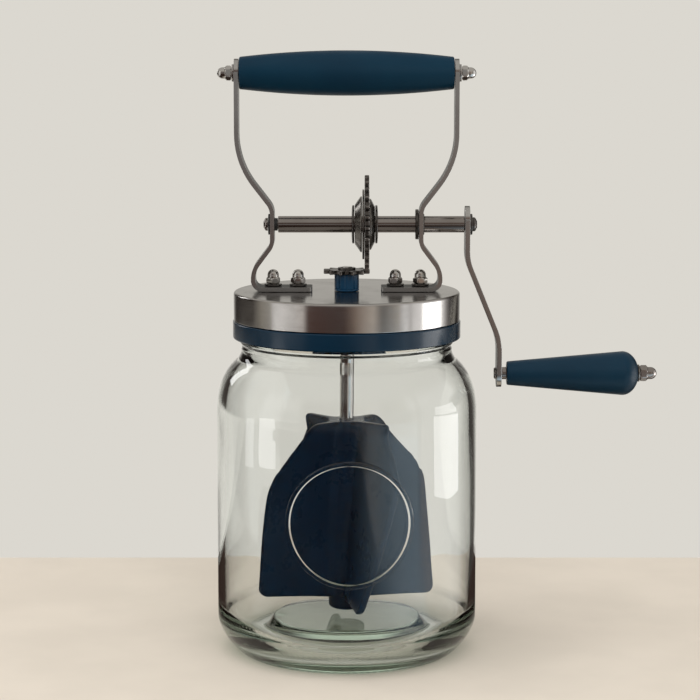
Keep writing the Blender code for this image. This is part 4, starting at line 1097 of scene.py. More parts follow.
def sector_form(edge: Sequence[Point], bore: float, low: float, high: float, soft: float) -> bpy.types.Mesh:
    """One sector of a toothed or fluted ring, open where it meets its neighbours.

    Args:
        edge: the outer edge's points in the XY plane, from one meeting line to the other.
        bore: radius of the hole.
        low: height of the lower face.
        high: height of the upper face.
        soft: width of the broken edge.

    Returns:
        The mesh.
    """
    span = math.atan2(edge[-1][1], edge[-1][0]) - math.atan2(edge[0][1], edge[0][0])
    before = Matrix.Rotation(-span, 2) @ Vector(edge[-2])
    after = Matrix.Rotation(span, 2) @ Vector(edge[1])
    line = [before, *[Vector(point) for point in edge], after]
    bm = bmesh.new()
    columns = []
    for back, here, ahead in zip(line, line[1:], line[2:]):
        along = (ahead - back).normalized()
        inset = here + Vector((-along.y, along.x)) * soft
        hole = here.normalized() * bore
        columns.append([bm.verts.new(point) for point in (
            (*hole, low), (*inset, low), (*here, low + soft), (*here, high - soft), (*inset, high),
            (*hole, high),
        )])
    for left, right in zip(columns, columns[1:]):
        bridge(bm, right, left)
    mesh = bpy.data.meshes.new("sector")
    bm.to_mesh(mesh)
    bm.free()
    return mesh


def tooth_edge(teeth: int, radii: Triple, widths: Triple, middle: float) -> list[Point]:
    """Outer edge of one tooth, from the middle of one gap to the middle of the next.

    Args:
        teeth: how many there are.
        radii: the radius at the gap's floor, where the teeth mesh and at the tip.
        widths: the tooth's width at those three.
        middle: the angle of the tooth's middle line.

    Returns:
        The points.
    """
    step = TURN / teeth
    flank = tuple(zip(radii, widths, (0.7 * MM, 0.0, 0.45 * MM)))
    corners: list[Corner] = [polar(radii[0], middle - step / 2.0)]
    for side, steps in ((-1.0, flank), (1.0, flank[::-1])):
        for radius, width, soft in steps:
            corners.append((*polar(radius, middle + side * math.asin(width / 2.0 / radius)), soft))
    corners.append(polar(radii[0], middle + step / 2.0))
    return rounded(corners, facet=0.4)


def span_of(node: str, axis: int) -> Point:
    """Where a CAD node's box starts and ends along an axis, 0 for X and 2 for Z."""
    low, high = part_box(node)
    return low[axis], high[axis]


# Jar


@dataclass
class GlassJar(Assembly):
    """Pressed glass jar with a plain raised ring on its front wall.

    The ring fills a square patch of the wall, so the rows beside it skip that patch.
    """

    body: str = "jar"
    radius: float = 74.0 * MM
    wall: float = 4.0 * MM
    neck: float = 59.8 * MM
    mouth: float = 54.6 * MM
    finish_radius: float = 58.0 * MM
    finish_low: float = 181.8 * MM
    rim: float = 203.0 * MM
    rim_round: float = 1.4 * MM
    rim_drop: float = 2.6 * MM
    shoulder_low: float = 137.5 * MM
    shoulder_rise: float = 19.0 * MM
    shoulder_handle: Point = (66.3 * MM, 164.0 * MM)
    shoulder_end: Point = (62.7 * MM, 167.4 * MM)
    throat_handle: Point = (61.2 * MM, 168.9 * MM)
    throat_end: float = 173.2 * MM
    inner_shoulder_rise: float = 18.5 * MM
    inner_shoulder_handle: Point = (61.6 * MM, 163.9 * MM)
    inner_shoulder_end: Point = (57.6 * MM, 167.7 * MM)
    inner_throat_handle: Point = (55.9 * MM, 169.3 * MM)
    inner_throat_end: float = 174.0 * MM
    bead_height: float = 177.8 * MM
    bead_radius: float = 60.4 * MM
    groove: float = 59.2 * MM
    heel: float = 18.8 * MM
    heel_fullness: float = 1.41
    contact: float = 60.2 * MM
    foot_ring: float = 50.0 * MM
    foot_rise: float = 1.8 * MM
    floor_middle: float = 30.0 * MM
    plateau: float = 17.0 * MM
    plateau_radius: float = 42.0 * MM
    trough: float = 8.0 * MM
    trough_radius: float = 54.0 * MM
    trough_rise: float = 20.0 * MM
    ring_height: float = 86.4 * MM
    ring_radius: float = 34.1 * MM
    ring_turn: float = 0.024
    ring_reach: float = 2.6 * MM
    ring_profile: tuple[Point, ...] = (
        (1.5, 0.0), (1.32, 0.08), (1.12, 0.45), (0.95, 0.72), (0.7, 0.81), (0.0, 0.82),
    )
    loops_inside: tuple[float, ...] = (31.8, 29.0, 26.0, 23.0, 20.0, 17.0, 14.0, 11.0, 8.0, 5.0, 2.2)
    patch: float = 40.0 * MM
    cells: int = 56
    cells_behind: int = 120
    sunk: float = 0.82 * MM
    sunk_side: Point = (1.05, 0.61)
    sunk_low: Point = (22.0 * MM, 47.0 * MM)
    sunk_high: Point = (152.0 * MM, 127.0 * MM)
    thread_low: float = 185.5 * MM
    thread_pitch: float = 5.6 * MM
    thread_half: float = 1.5 * MM
    thread_turns: float = 1.7
    thread_proud: float = 1.35 * MM
    thread_fade: float = 12.0
    ripple_start: Point = (40.0 * MM, 60.0 * MM)
    # Depth in millimetres, waves in one turn, radians per metre of height, and start angle.
    ripples: tuple[tuple[float, ...], ...] = (
        (0.13, 3.0, 21.0, 0.9), (0.09, 7.0, -33.0, 0.0), (0.07, 2.0, 58.0, 0.0),
    )

    def outer(self) -> tuple[list[Point], list[Point], list[Point]]:
        """Trace the outer wall from the foot's middle to the rim.

        Returns:
            Its points below, beside and above the ring's patch.
        """
        low, top = self.ring_height - self.patch, self.ring_height + self.patch
        foot = rounded([
            (self.floor_middle, self.foot_rise), (46.0 * MM, self.foot_rise, 2.5 * MM),
            (self.foot_ring, 0.0, 2.0 * MM), (self.contact, 0.0),
        ])
        below = [(0.0, self.foot_rise), *foot[:-1]]
        below += superellipse((self.contact, self.heel), self.radius - self.contact, self.heel,
                              self.heel_fullness, 18)
        below += [(self.radius, height) for height in spaced(self.heel, low, 18)[:-1]]
        beside = [(self.radius, height) for height in (low, *spaced(low, top, self.cells))]
        above = [(self.radius, 0.5 * (top + self.shoulder_low)), (self.radius, self.shoulder_low)]
        above += bezier(above[-1], (self.radius, self.shoulder_low + self.shoulder_rise),
                        self.shoulder_handle, self.shoulder_end, 24)
        above += bezier(above[-1], self.throat_handle, (self.neck, self.throat_end - 2.8 * MM),
                        (self.neck, self.throat_end), 10)
        above += rounded([
            (self.neck, self.throat_end), (self.neck, self.throat_end + 0.8 * MM, 1.0 * MM),
            (self.groove, self.bead_height - 1.6 * MM, 0.5 * MM),
            (self.bead_radius, self.bead_height - 0.1 * MM, 0.4 * MM),
            (self.bead_radius, self.bead_height + 0.7 * MM, 0.4 * MM),
            (self.finish_radius, self.bead_height + 2.6 * MM, 0.8 * MM),
            (self.finish_radius, self.finish_low),
        ])[1:]
        top = self.rim - self.rim_drop
        above += [(self.finish_radius, height) for height in spaced(self.finish_low, top, 26)]
        above += rounded([
            (self.finish_radius, top), (self.finish_radius, self.rim, self.rim_round),
            (self.mouth, self.rim, self.rim_round), (self.mouth, top),
        ])[1:]
        return below, beside, above

    def inner(self) -> list[Point]:
        """Trace the inner wall from below the rim down to the middle of the floor.

        Returns:
            Its points.
        """
        inside = self.radius - self.wall
        heights = (self.rim - 10.0 * MM, self.rim - 20.0 * MM, self.inner_throat_end)
        points: list[Point] = [(self.mouth, height) for height in heights]
        points += bezier(points[-1], (self.mouth, self.inner_throat_end - 3.0 * MM),
                         self.inner_throat_handle, self.inner_shoulder_end, 8)
        points += bezier(points[-1], self.inner_shoulder_handle,
                         (inside, self.shoulder_low + self.inner_shoulder_rise),
                         (inside, self.shoulder_low), 22)
        trough = superellipse((self.trough_radius, self.trough + self.trough_rise),
                              inside - self.trough_radius, self.trough_rise, 1.7, 14)
        points += [(inside, height) for height in spaced(self.shoulder_low, trough[-1][1], 22)[:-1]]
        points += trough[::-1]
        points += rounded([
            trough[0], (48.5 * MM, self.trough, 3.0 * MM), (self.plateau_radius, self.plateau, 3.0 * MM),
            (self.floor_middle, self.plateau),
        ])[1:]
        return points + [(self.floor_middle / 2.0, self.plateau), (0.0, self.plateau)]

    def columns(self) -> list[float]:
        """Space the meridians evenly across the ring's patch, and then around.

        Returns:
            Their angles from the front.
        """
        steps = (-self.patch, *spaced(-self.patch, self.patch, self.cells))
        angles = [math.asin(step / self.radius) for step in steps]
        return angles + spaced(angles[-1], TURN - angles[-1], self.cells_behind)[:-1]

    def relief(self, angle: float, height: float, outside: bool) -> float:
        """Work out how far the wall stands out of its plain outline.

        Args:
            angle: the place's angle from the front.
            height: its height.
            outside: whether it is on the outer wall, which has the panel and the thread.

        Returns:
            The distance, negative where the wall is sunk.
        """
        if not outside:
            return eased(height, *self.ripple_start) * MM * sum(
                depth * math.sin(around * angle + up * height + start)
                for depth, around, up, start in self.ripples)
        turned_off = abs((angle + math.pi) % TURN - math.pi)
        panel = eased(height, *self.sunk_low) * eased(height, *self.sunk_high)
        proud = -self.sunk * eased(turned_off, *self.sunk_side) * panel
        for lap in range(3):
            along = (angle % TURN) / TURN + lap
            off = (height - self.thread_low - self.thread_pitch * along) / self.thread_half
            if 0.0 <= along <= self.thread_turns and abs(off) < 1.0:
                fade = min(1.0, self.thread_fade * along, self.thread_fade * (self.thread_turns - along))
                proud += fade * self.thread_proud * math.cos(QUARTER * off) ** 1.5
        return proud

    def on_wall(
        self, bm: Form, spot: Point, angle: float, outside: bool, proud: float = 0.0,
    ) -> bmesh.types.BMVert:
        """Add a point of the wall, with its relief.

        Args:
            bm: the jar.
            spot: radius and height of the plain outline.
            angle: the point's angle from the front.
            outside: whether it is on the outer wall.
            proud: how far it stands out besides.

        Returns:
            The vertex.
        """
        radius, height = spot
        reach = radius + proud + (self.relief(angle, height, outside) if radius > self.foot_ring else 0.0)
        angle += self.ring_turn
        return bm.verts.new((reach * math.sin(angle), -reach * math.cos(angle), height))

    def ring(self, bm: Form, border: Sequence[bmesh.types.BMVert]) -> None:
        """Fill the square patch with the raised ring, from its border to its middle.

        Args:
            bm: the jar.
            border: the patch's vertices in order around it.
        """
        spots = []
        for vert in border:
            angle = math.atan2(vert.co.x, -vert.co.y) - self.ring_turn
            x, z = self.radius * math.sin(angle), vert.co.z - self.ring_height
            spots.append((x, z, math.atan2(z, x)))
        plan = [(self.ring_radius + self.ring_reach, share, 0.0) for share in spaced(0.0, 1.0, 8)]
        plan += [(self.ring_radius + off * MM, 1.0, proud * MM) for off, proud in self.ring_profile]
        plan += [(self.ring_radius - off * MM, 1.0, proud * MM) for off, proud in self.ring_profile[-2::-1]]
        plan += [(reach * MM, 1.0, 0.0) for reach in self.loops_inside]
        last = list(border)
        for reach, share, proud in plan:
            loop = []
            for x, z, way in spots:
                x += (reach * math.cos(way) - x) * share
                z += (reach * math.sin(way) - z) * share
                spot = (self.radius, self.ring_height + z)
                loop.append(self.on_wall(bm, spot, math.asin(x / self.radius), True, proud))
            bridge(bm, last, loop)
            last = loop
        bridge(bm, last, [self.on_wall(bm, (self.radius, self.ring_height), 0.0, True)])

    def build(self) -> None:
        """Make the jar as one closed wall of glass."""
        below, beside, above = self.outer()
        columns = self.columns()
        bm = bmesh.new()
        loops = []
        for outside, outline in ((True, below + beside + above), (False, self.inner())):
            for spot in outline:
                angles = columns if spot[0] > ON_AXIS else [0.0]
                loops.append([self.on_wall(bm, spot, angle, outside) for angle in angles])
        first, last, cells = len(below), len(below) + self.cells, self.cells
        for row, (low, high) in enumerate(zip(loops, loops[1:])):
            bridge(bm, low, high, cells if first <= row < last else 0)
        border = loops[first][:cells] + [loops[row][cells] for row in range(first, last)]
        border += loops[last][cells:0:-1] + [loops[row][0] for row in range(last, first, -1)]
        self.ring(bm, border)
        self.add("jar_of_glass", bm, self.look.glass, "glass_jar", sharp=60.0)


# Lid


@dataclass
class ScrewLid(Assembly):
    """Spun steel shell, blue collar and seal, with the paddle shaft's fluted bush."""

    radius: float = 64.0 * MM
    sheet: float = 0.9 * MM
    edge: float = 1.5 * MM
    hole: float = 5.6 * MM
    collar_bore: float = 60.2 * MM
    collar_edge: float = 0.9 * MM
    seal_width: float = 5.6 * MM
    bush_bore: float = 4.3 * MM
    bush_shank: float = 5.3 * MM
    bush_flange: float = 1.1 * MM
    flutes: int = 12
    flute_crest: float = 6.9 * MM
    flute_depth: float = 0.45 * MM
    nut_flats: float = 15.0 * MM

    def shell(self) -> None:
        """Shell with a rolled top edge and a drawn skirt."""
        low, high = span_of("lid_shell", Z)
        inner, under = self.radius - self.sheet, high - self.sheet
        form = lathed(
            (self.hole, under), (inner, under, self.edge * 0.5), (inner, low, 0.3 * MM),
            (self.radius, low, 0.4 * MM), (self.radius, high, self.edge), (self.hole, high),
            sides=192, facet=0.13)
        self.add("spun_shell", form, self.look.spun, "lid_shell")

    def collar(self) -> None:
        """Collar whose band shows under the shell, on a liner that carries the thread."""
        low, high = span_of("lid_collar", Z)
        radius = span_of("lid_collar", X)[1]
        band = span_of("lid_shell", Z)[0] - FIT
        liner = self.radius - self.sheet - FIT
        form = lathed(
            (self.collar_bore, low, 0.4 * MM), (radius, low, self.collar_edge),
            (radius, band, self.collar_edge), (liner, band, 0.2 * MM), (liner, high, 0.3 * MM),
            (self.collar_bore, high, 0.3 * MM), sides=192)
        self.add("collar_ring", form, self.look.collar, "lid_collar")

    def seal(self) -> None:
        """Soft seal ring with a rounded section on the rim."""
        low, high = span_of("lid_gasket", Z)
        outer = span_of("lid_gasket", X)[1]
        soft, inner = (high - low) * 0.45, outer - self.seal_width
        form = lathed((inner, low, soft), (outer, low, soft), (outer, high, soft), (inner, high, soft),
                      sides=128, facet=0.4)
        self.add("rim_seal", form, self.look.rubber, "lid_gasket")

    def bush(self) -> None:
        """Fluted bush through the lid."""
        low, high = span_of("shaft_bush", Z)
        reach = span_of("shaft_bush", X)[1]
        seat = span_of("lid_shell", Z)[1] + FIT
        flange = seat + self.bush_flange
        form = lathed(
            (self.bush_bore, low, 0.2 * MM), (self.bush_shank, low, 0.3 * MM), (self.bush_shank, seat),
            (reach, seat, 0.2 * MM), (reach, flange, 0.35 * MM), (self.bush_bore, flange))
        step = TURN / self.flutes
        edge = [polar(self.flute_crest - self.flute_depth * 0.5 * (1.0 + math.cos(TURN * i / 8.0)),
                      step * (i / 8.0 - 0.5)) for i in range(9)]
        flute = sector_form(edge, self.bush_bore, flange - 0.05 * MM, high, 0.35 * MM)
        form.from_mesh(sectors_tree().run(flute, "flutes", self.look.bush, Copies=self.flutes))
        self.add("fluted_bush", form, self.look.bush, "shaft_bush", sharp=40.0)

    def locknut(self) -> None:
        """Hexagon nut that holds the bush from below."""
        low, high = span_of("bush_nut", Z)
        flats, bore = self.nut_flats, self.bush_shank + FIT
        nut = grid([
            circle(bore, low), hexagon(flats, low, flats / 2.0), hexagon(flats, low + 0.5 * MM),
            hexagon(flats, high), circle(bore, high),
        ])
        self.add("bush_locknut", nut, self.look.small, "bush_nut")

    def build(self) -> None:
        """Make every piece of the lid."""
        self.shell()
        self.collar()
        self.seal()
        self.bush()
        self.locknut()


# Frame


@dataclass
class CarryFrame(Assembly):
    """Two bent steel arms, their fasteners, the shaft's bushes and the top grip."""

    shaft: float = SHAFT
    grip: float = TOP_GRIP
    thick: float = 2.4 * MM
    width: float = 16.0 * MM
    edge: float = 0.8 * MM
    line: float = 208.0 * MM
    foot_end: float = 19.5 * MM
    foot_corner: float = 1.6 * MM
    knee: float = 52.7 * MM
    waist: float = 41.9 * MM
    spread: float = 61.7 * MM
    arm_top: float = 337.0 * MM
    knee_high: float = 218.5 * MM
    waist_low: float = 232.9 * MM
    waist_high: float = 253.7 * MM
    spread_low: float = 279.4 * MM
    # Radius of each of the arm's bends, from the foot up.
    bends: tuple[float, ...] = (5.8 * MM, 14.0 * MM, 9.0 * MM, 10.0 * MM, 52.0 * MM)
    foot_inner: float = 27.5 * MM
    foot_spacing: float = 14.1 * MM
    bolt: float = 2.0 * MM
    hole: float = 2.3 * MM
    head: float = 1.6 * MM
    head_radius: float = 3.8 * MM
    disc: float = 4.9 * MM
    disc_thick: float = 1.0 * MM
    nut: AcornNut = AcornNut()
    left_bore: float = 2.9 * MM
    left_sleeve: float = 3.6 * MM
    right_bore: float = 4.95 * MM
    right_sleeve: float = 5.9 * MM
    right_flange: float = 8.5 * MM
    grip_end: float = 9.1 * MM
    grip_middle: float = 12.6 * MM
    grip_round: float = 1.0 * MM

    def path(self, side: float) -> list[Corner]:
        """Trace one arm's centre line, from its foot to its top.

        Args:
            side: 1 for the right arm and -1 for the left.

        Returns:
            Its corners.
        """
        spots = (
            (self.knee, self.line), (self.knee, self.knee_high), (self.waist, self.waist_low),
            (self.waist, self.waist_high), (self.spread, self.spread_low),
        )
        corners = [(*spot, bend) for spot, bend in zip(spots, self.bends)]
        corners = [(self.foot_end, self.line), *corners, (self.spread, self.arm_top)]
        return [(side * x, *rest) for x, *rest in corners]

    def washer(self) -> Form:
        """The washer under each of the frame's acorn nuts."""
        return flat_washer(self.disc, self.hole, self.disc_thick)

    def arms(self) -> None:
        """Both arms with their holes and broken edges."""
        foot_outer = self.foot_inner + self.foot_spacing
        for side, hand, sleeve in ((-1.0, "left", self.left_sleeve), (1.0, "right", self.right_sleeve)):
            name = "bent_arm_" + hand
            bar = bent_bar(self.path(side), self.width, self.thick, self.foot_corner)
            cutters = [
                drill(sleeve + FIT, side * self.waist, self.shaft),
                drill(self.hole, side * self.spread, self.grip),
                drill(self.hole, side * self.foot_inner, self.line, True),
                drill(self.hole, side * foot_outer, self.line, True),
            ]
            mesh = holed(bar, cutters, name, self.edge)
            self.add(name, mesh, self.look.bar, "frame_arm_" + hand, sharp=25.0)

    def feet(self) -> None:
        """Bolts, washers and acorn nuts of the two feet."""
        labels = [f"{hand}_{spot}" for hand in ("left", "right") for spot in ("inner", "outer")]
        low, high = span_of("foot_bolt_left_inner", Z)
        length, head, radius = high - low, self.head, self.head_radius
        bolt = lathed(
            (0.0, 0.0), (radius * 0.86, 0.0, 0.6 * MM), (radius, head * 0.5, 0.3 * MM), (radius, head),
            (self.bolt, head), (self.bolt, length, 0.3 * MM), (0.0, length), sides=48)
        for name, stem, form, finish in (
            ("foot_bolts", "foot_bolt_", bolt, self.look.small),
            ("foot_discs", "foot_washer_", self.washer(), self.look.dark),
            ("foot_acorns", "foot_nut_", self.nut.form(), self.look.bright),
        ):
            mesh = feet_tree().run(
                outward(form, name + "_one"), name, finish, Inner=self.foot_inner,
                Spacing=self.foot_spacing, Height=span_of(stem + "left_inner", Z)[0])
            self.add(name, mesh, finish, *[stem + label for label in labels])

    def top_grip(self) -> None:
        """Turned grip between the arms, slimmer at its ends."""
        half, end, middle = span_of("handle_grip", X)[1], self.grip_end, self.grip_middle
        side = []
        for share in (-1.0, *spaced(-1.0, 1.0, 28)):
            side.append((end + (middle - end) * (1.0 - share ** 2), (half - self.grip_round) * share))
        foot = rounded([(self.hole, -half), (end - 0.1 * MM, -half, 0.9 * MM), side[1]])[:-1]
        head = [(radius, -height) for radius, height in reversed(foot)]
        form = laid(turned(foot + side[1:-1] + head, 96), 0.0, self.grip)
        self.add("top_grip", form, self.look.top_blue, "handle_grip")

    def top_rod(self) -> None:
        """Rod through the grip, with washers and acorn nuts outside the arms."""
        reach = span_of("handle_rod", X)[1]
        rod = lathed((0.0, -reach), (self.bolt, -reach, 0.3 * MM), (self.bolt, reach, 0.3 * MM),
                     (0.0, reach), sides=32)
        self.add("top_rod", laid(rod, 0.0, self.grip), self.look.small, "handle_rod")
        for name, stem, make, finish in (
            ("top_discs", "handle_washer_", self.washer, self.look.small),
            ("top_acorns", "handle_nut_", self.nut.form, self.look.bright),
        ):
            start = span_of(stem + "right", X)[0]
            pair = [laid(make(), side * start, self.grip, side < 0) for side in (-1, 1)]
            self.add(name, merged(*pair), finish, stem + "left", stem + "right")

    def sleeves(self) -> None:
        """Bearings of the crank shaft in the two arms."""
        low, high = span_of("left_bush", X)
        bore, reach = self.left_bore, self.left_sleeve
        left = lathed((bore, low, 0.15 * MM), (reach, low, 0.25 * MM), (reach, high, 0.25 * MM),
                      (bore, high, 0.15 * MM))
        self.add("left_sleeve", laid(left, 0.0, self.shaft), self.look.black, "left_bush")
        low, high = span_of("right_bush", X)
        bore, reach, flange = self.right_bore, self.right_sleeve, self.right_flange
        seat = self.waist - self.thick / 2.0 - FIT
        right = lathed(
            (bore, low, 0.2 * MM), (flange, low, 0.35 * MM), (flange, seat, 0.25 * MM), (reach, seat),
            (reach, high, 0.25 * MM), (bore, high, 0.2 * MM))
        self.add("right_sleeve", laid(right, 0.0, self.shaft), self.look.sleeve, "right_bush")

    def build(self) -> None:
        """Make every piece of the frame."""
        self.arms()
        self.feet()
        self.top_grip()
        self.top_rod()
        self.sleeves()


# Crank


@dataclass
class CrankDrive(Assembly):
    """Shaft with its drive gear and hub plates, the S-bent arm and the grip's spindle."""

    body: str = "crank"
    shaft: float = SHAFT
    radius: float = 4.65 * MM
    bore: float = 4.95 * MM
    left_radius: float = 2.6 * MM
    left_end: float = -38.6 * MM
    right_radius: float = 3.4 * MM
    right_start: float = 66.3 * MM
    thread: float = 1.7 * MM
    thread_depth: float = 9.3 * MM
    left_disc: float = 5.85 * MM
    left_disc_thick: float = 0.8 * MM
    left_screw: SocketScrew = SocketScrew()
    right_disc: float = 5.9 * MM
    right_disc_thick: float = 1.1 * MM
    right_screw: SocketScrew = SocketScrew(4.0 * MM)
    teeth: int = 28
    gear_radii: Triple = (24.6 * MM, 26.6 * MM, 27.7 * MM)
    tooth_widths: Triple = (3.0 * MM, 2.1 * MM, 1.3 * MM)
    dished_radius: float = 10.8 * MM
    dished_flat: float = 7.0 * MM
    dished_thick: float = 1.5 * MM
    arm_near: float = 68.0 * MM
    arm_far: float = 86.4 * MM
    arm_width: float = 15.6 * MM
    arm_thick: float = 2.8 * MM
    arm_edge: float = 0.85 * MM
    arm_high: float = 254.6 * MM
    arm_low: float = 151.5 * MM
    bend_high: float = 224.0 * MM
    bend_low: float = 178.7 * MM
    bends: tuple[float, float] = (26.0 * MM, 34.0 * MM)
    shaft_hole: float = 3.7 * MM
    pin: float = 2.5 * MM
    pin_hole: float = 2.8 * MM
    pin_head: float = 3.3 * MM
    pin_head_thick: float = 1.1 * MM
    spacer: float = 3.5 * MM
    end_disc: float = 4.9 * MM
    end_nut: AcornNut = AcornNut(8.0 * MM, 4.2 * MM, 9.6 * MM, 3.5 * MM, 2.8 * MM)
    grip_slim: float = 6.8 * MM
    grip_full: float = 12.5 * MM
    grip_last: float = 5.0 * MM
    grip_dome: float = 8.6 * MM
    grip_round: float = 0.9 * MM

    def on_shaft(self, form: Form, node: str, flip: bool = False) -> Form:
        """Lay a form on the shaft, from a node's left face, or from its right face to the left."""
        low, high = span_of(node, X)
        return laid(form, high if flip else low, self.shaft, flip)

    def grip_axis(self) -> float:
        """Height of the crank grip's axis."""
        return sum(span_of("crank_grip", Z)) / 2.0

    def axle(self) -> None:
        """Stepped shaft and the washer and screw at its left end."""
        low, high = span_of("crank_shaft", X)
        bore, soft, near, far = self.thread, 0.25 * MM, self.left_radius, self.right_radius
        shaft = lathed(
            (0.0, low + self.thread_depth), (bore, low + self.thread_depth), (bore, low, 0.1 * MM),
            (near, low, soft), (near, self.left_end), (self.radius, self.left_end, soft),
            (self.radius, self.right_start, soft), (far, self.right_start), (far, high, soft),
            (bore, high, 0.1 * MM), (bore, high - self.thread_depth), (0.0, high - self.thread_depth))
        self.add("long_axle", laid(shaft, 0.0, self.shaft), self.look.axle, "crank_shaft")
        disc = self.on_shaft(flat_washer(self.left_disc, bore, self.left_disc_thick), "shaft_washer", True)
        self.add("left_disc", disc, self.look.black, "shaft_washer")
        start = span_of("shaft_screw", X)[0] + self.left_screw.height
        screw = laid(self.left_screw.form(), start, self.shaft, True)
        self.add("left_screw", screw, self.look.axle, "shaft_screw")

    def gear(self) -> None:
        """Toothed drive gear with the disc beside it."""
        low, high = span_of("drive_gear", X)
        edge = tooth_edge(self.teeth, self.gear_radii, self.tooth_widths, 0.0)
        tooth = sector_form(edge, self.bore, low, high, 0.3 * MM)
        form = bmesh.new()
        form.from_mesh(sectors_tree().run(tooth, "gear_ring", self.look.gear, Copies=self.teeth))
        self.add("toothed_gear", laid(form, 0.0, self.shaft), self.look.gear, "drive_gear", sharp=28.0)
        low, high = span_of("gear_flange", X)
        reach = span_of("gear_flange", Z)[1] - self.shaft
        disc = self.on_shaft(flat_washer(reach, self.bore, high - low, 128), "gear_flange")
        self.add("gear_disc", disc, self.look.plain, "gear_flange")

    def hub_plates(self) -> None:
        """Domes and dished washers on both sides of the gear."""
        bore, out, thick = self.bore, self.dished_radius, self.dished_thick
        for hand in ("left", "right"):
            node = "hub_dome_" + hand
            low, high = span_of(node, X)
            reach, height = span_of(node, Z)[1] - self.shaft, high - low
            dome = lathed(
                (bore, 0.0), (reach, 0.0, 0.25 * MM), (reach, 0.7 * MM, 0.5 * MM),
                (reach * 0.70, height, 1.6 * MM), (bore, height, 0.2 * MM), sides=96, facet=0.1)
            dome = self.on_shaft(dome, node, hand == "left")
            self.add("pressed_dome_" + hand, dome, self.look.plain, node)
            node = "hub_washer_" + hand
            dished = lathed(
                (bore, 0.0), (out, 0.0, 0.25 * MM), (out, 1.15 * MM, 0.4 * MM),
                (self.dished_flat, thick, 1.2 * MM), (bore, thick, 0.2 * MM), sides=96)
            dished = self.on_shaft(dished, node, hand == "left")
            self.add("dished_disc_" + hand, dished, self.look.dished, node)

    def arm(self) -> None:
        """S-bent arm with its washer and screw."""
        near, far = self.arm_near, self.arm_far
        form = bent_bar([
            (near, self.arm_high), (near, self.bend_high, self.bends[0]),
            (far, self.bend_low, self.bends[1]), (far, self.arm_low),
        ], self.arm_width, self.arm_thick)
        cutters = [drill(self.shaft_hole, near, self.shaft), drill(self.pin_hole, far, self.grip_axis())]
        mesh = holed(form, cutters, "bent_crank", self.arm_edge)
        self.add("bent_crank", mesh, self.look.bar, "crank_arm", sharp=25.0)
        disc = flat_washer(self.right_disc, self.thread, self.right_disc_thick)
        self.add("crank_disc", self.on_shaft(disc, "crank_washer"), self.look.gear, "crank_washer")
        start = span_of("crank_screw", X)[1] - self.right_screw.height
        screw = laid(self.right_screw.form(), start, self.shaft)
        self.add("crank_bolt", screw, self.look.gear, "crank_screw")

    def spindle(self) -> None:
        """Spindle with its head, spacer collar, washer and acorn nut."""
        axis = self.grip_axis()
        low, high = span_of("grip_spindle", X)
        head = low + self.pin_head_thick
        pin = lathed(
            (0.0, low), (2.8 * MM, low, 0.6 * MM), (self.pin_head, low + 0.7 * MM, 0.2 * MM),
            (self.pin_head, head), (self.pin, head), (self.pin, high, 0.3 * MM), (0.0, high), sides=48)
        self.add("grip_pin", laid(pin, 0.0, axis), self.look.axle, "grip_spindle")
        for name, node, reach, sides, finish in (
            ("spacer", "grip_collar", self.spacer, 48, self.look.axle),
            ("end_disc", "grip_washer", self.end_disc, 64, self.look.gear),
        ):
            low, high = span_of(node, X)
            ring = flat_washer(reach, self.pin_hole, high - low, sides)
            self.add(name, laid(ring, low, axis), finish, node)
        nut = laid(self.end_nut.form(), span_of("grip_nut", X)[0], axis)
        self.add("end_acorn", nut, self.look.axle, "grip_nut")

    def grip(self) -> None:
        """Tapered grip with a round end."""
        start, end = span_of("crank_grip", X)
        slim, full, bore, soft = self.grip_slim, self.grip_full, self.pin_hole, self.grip_round
        first, widest = start + soft, end - self.grip_dome
        side = [(slim, first)]
        side += [(slim + (full - slim) * share, first + (widest - first) * share)
                 for share in spaced(0.0, 1.0, 26)]
        stop = math.acos(self.grip_last / full)
        for angle in spaced(0.0, stop, 12):
            reach, rise = polar(1.0, angle)
            side.append((full * reach, widest + self.grip_dome * rise / math.sin(stop)))
        foot = rounded([(bore, start), (slim - 0.1 * MM, start, soft), side[1]])[:-1]
        form = laid(turned(foot + side[1:] + [(bore, end)], 96), 0.0, self.grip_axis())
        self.add("turned_grip", form, self.look.side_blue, "crank_grip", body="crank_handle")

    def build(self) -> None:
        """Make every piece that the crank turns, and its grip."""
        self.axle()
        self.gear()
        self.hub_plates()
        self.arm()
        self.spindle()
        self.grip()


# Paddle


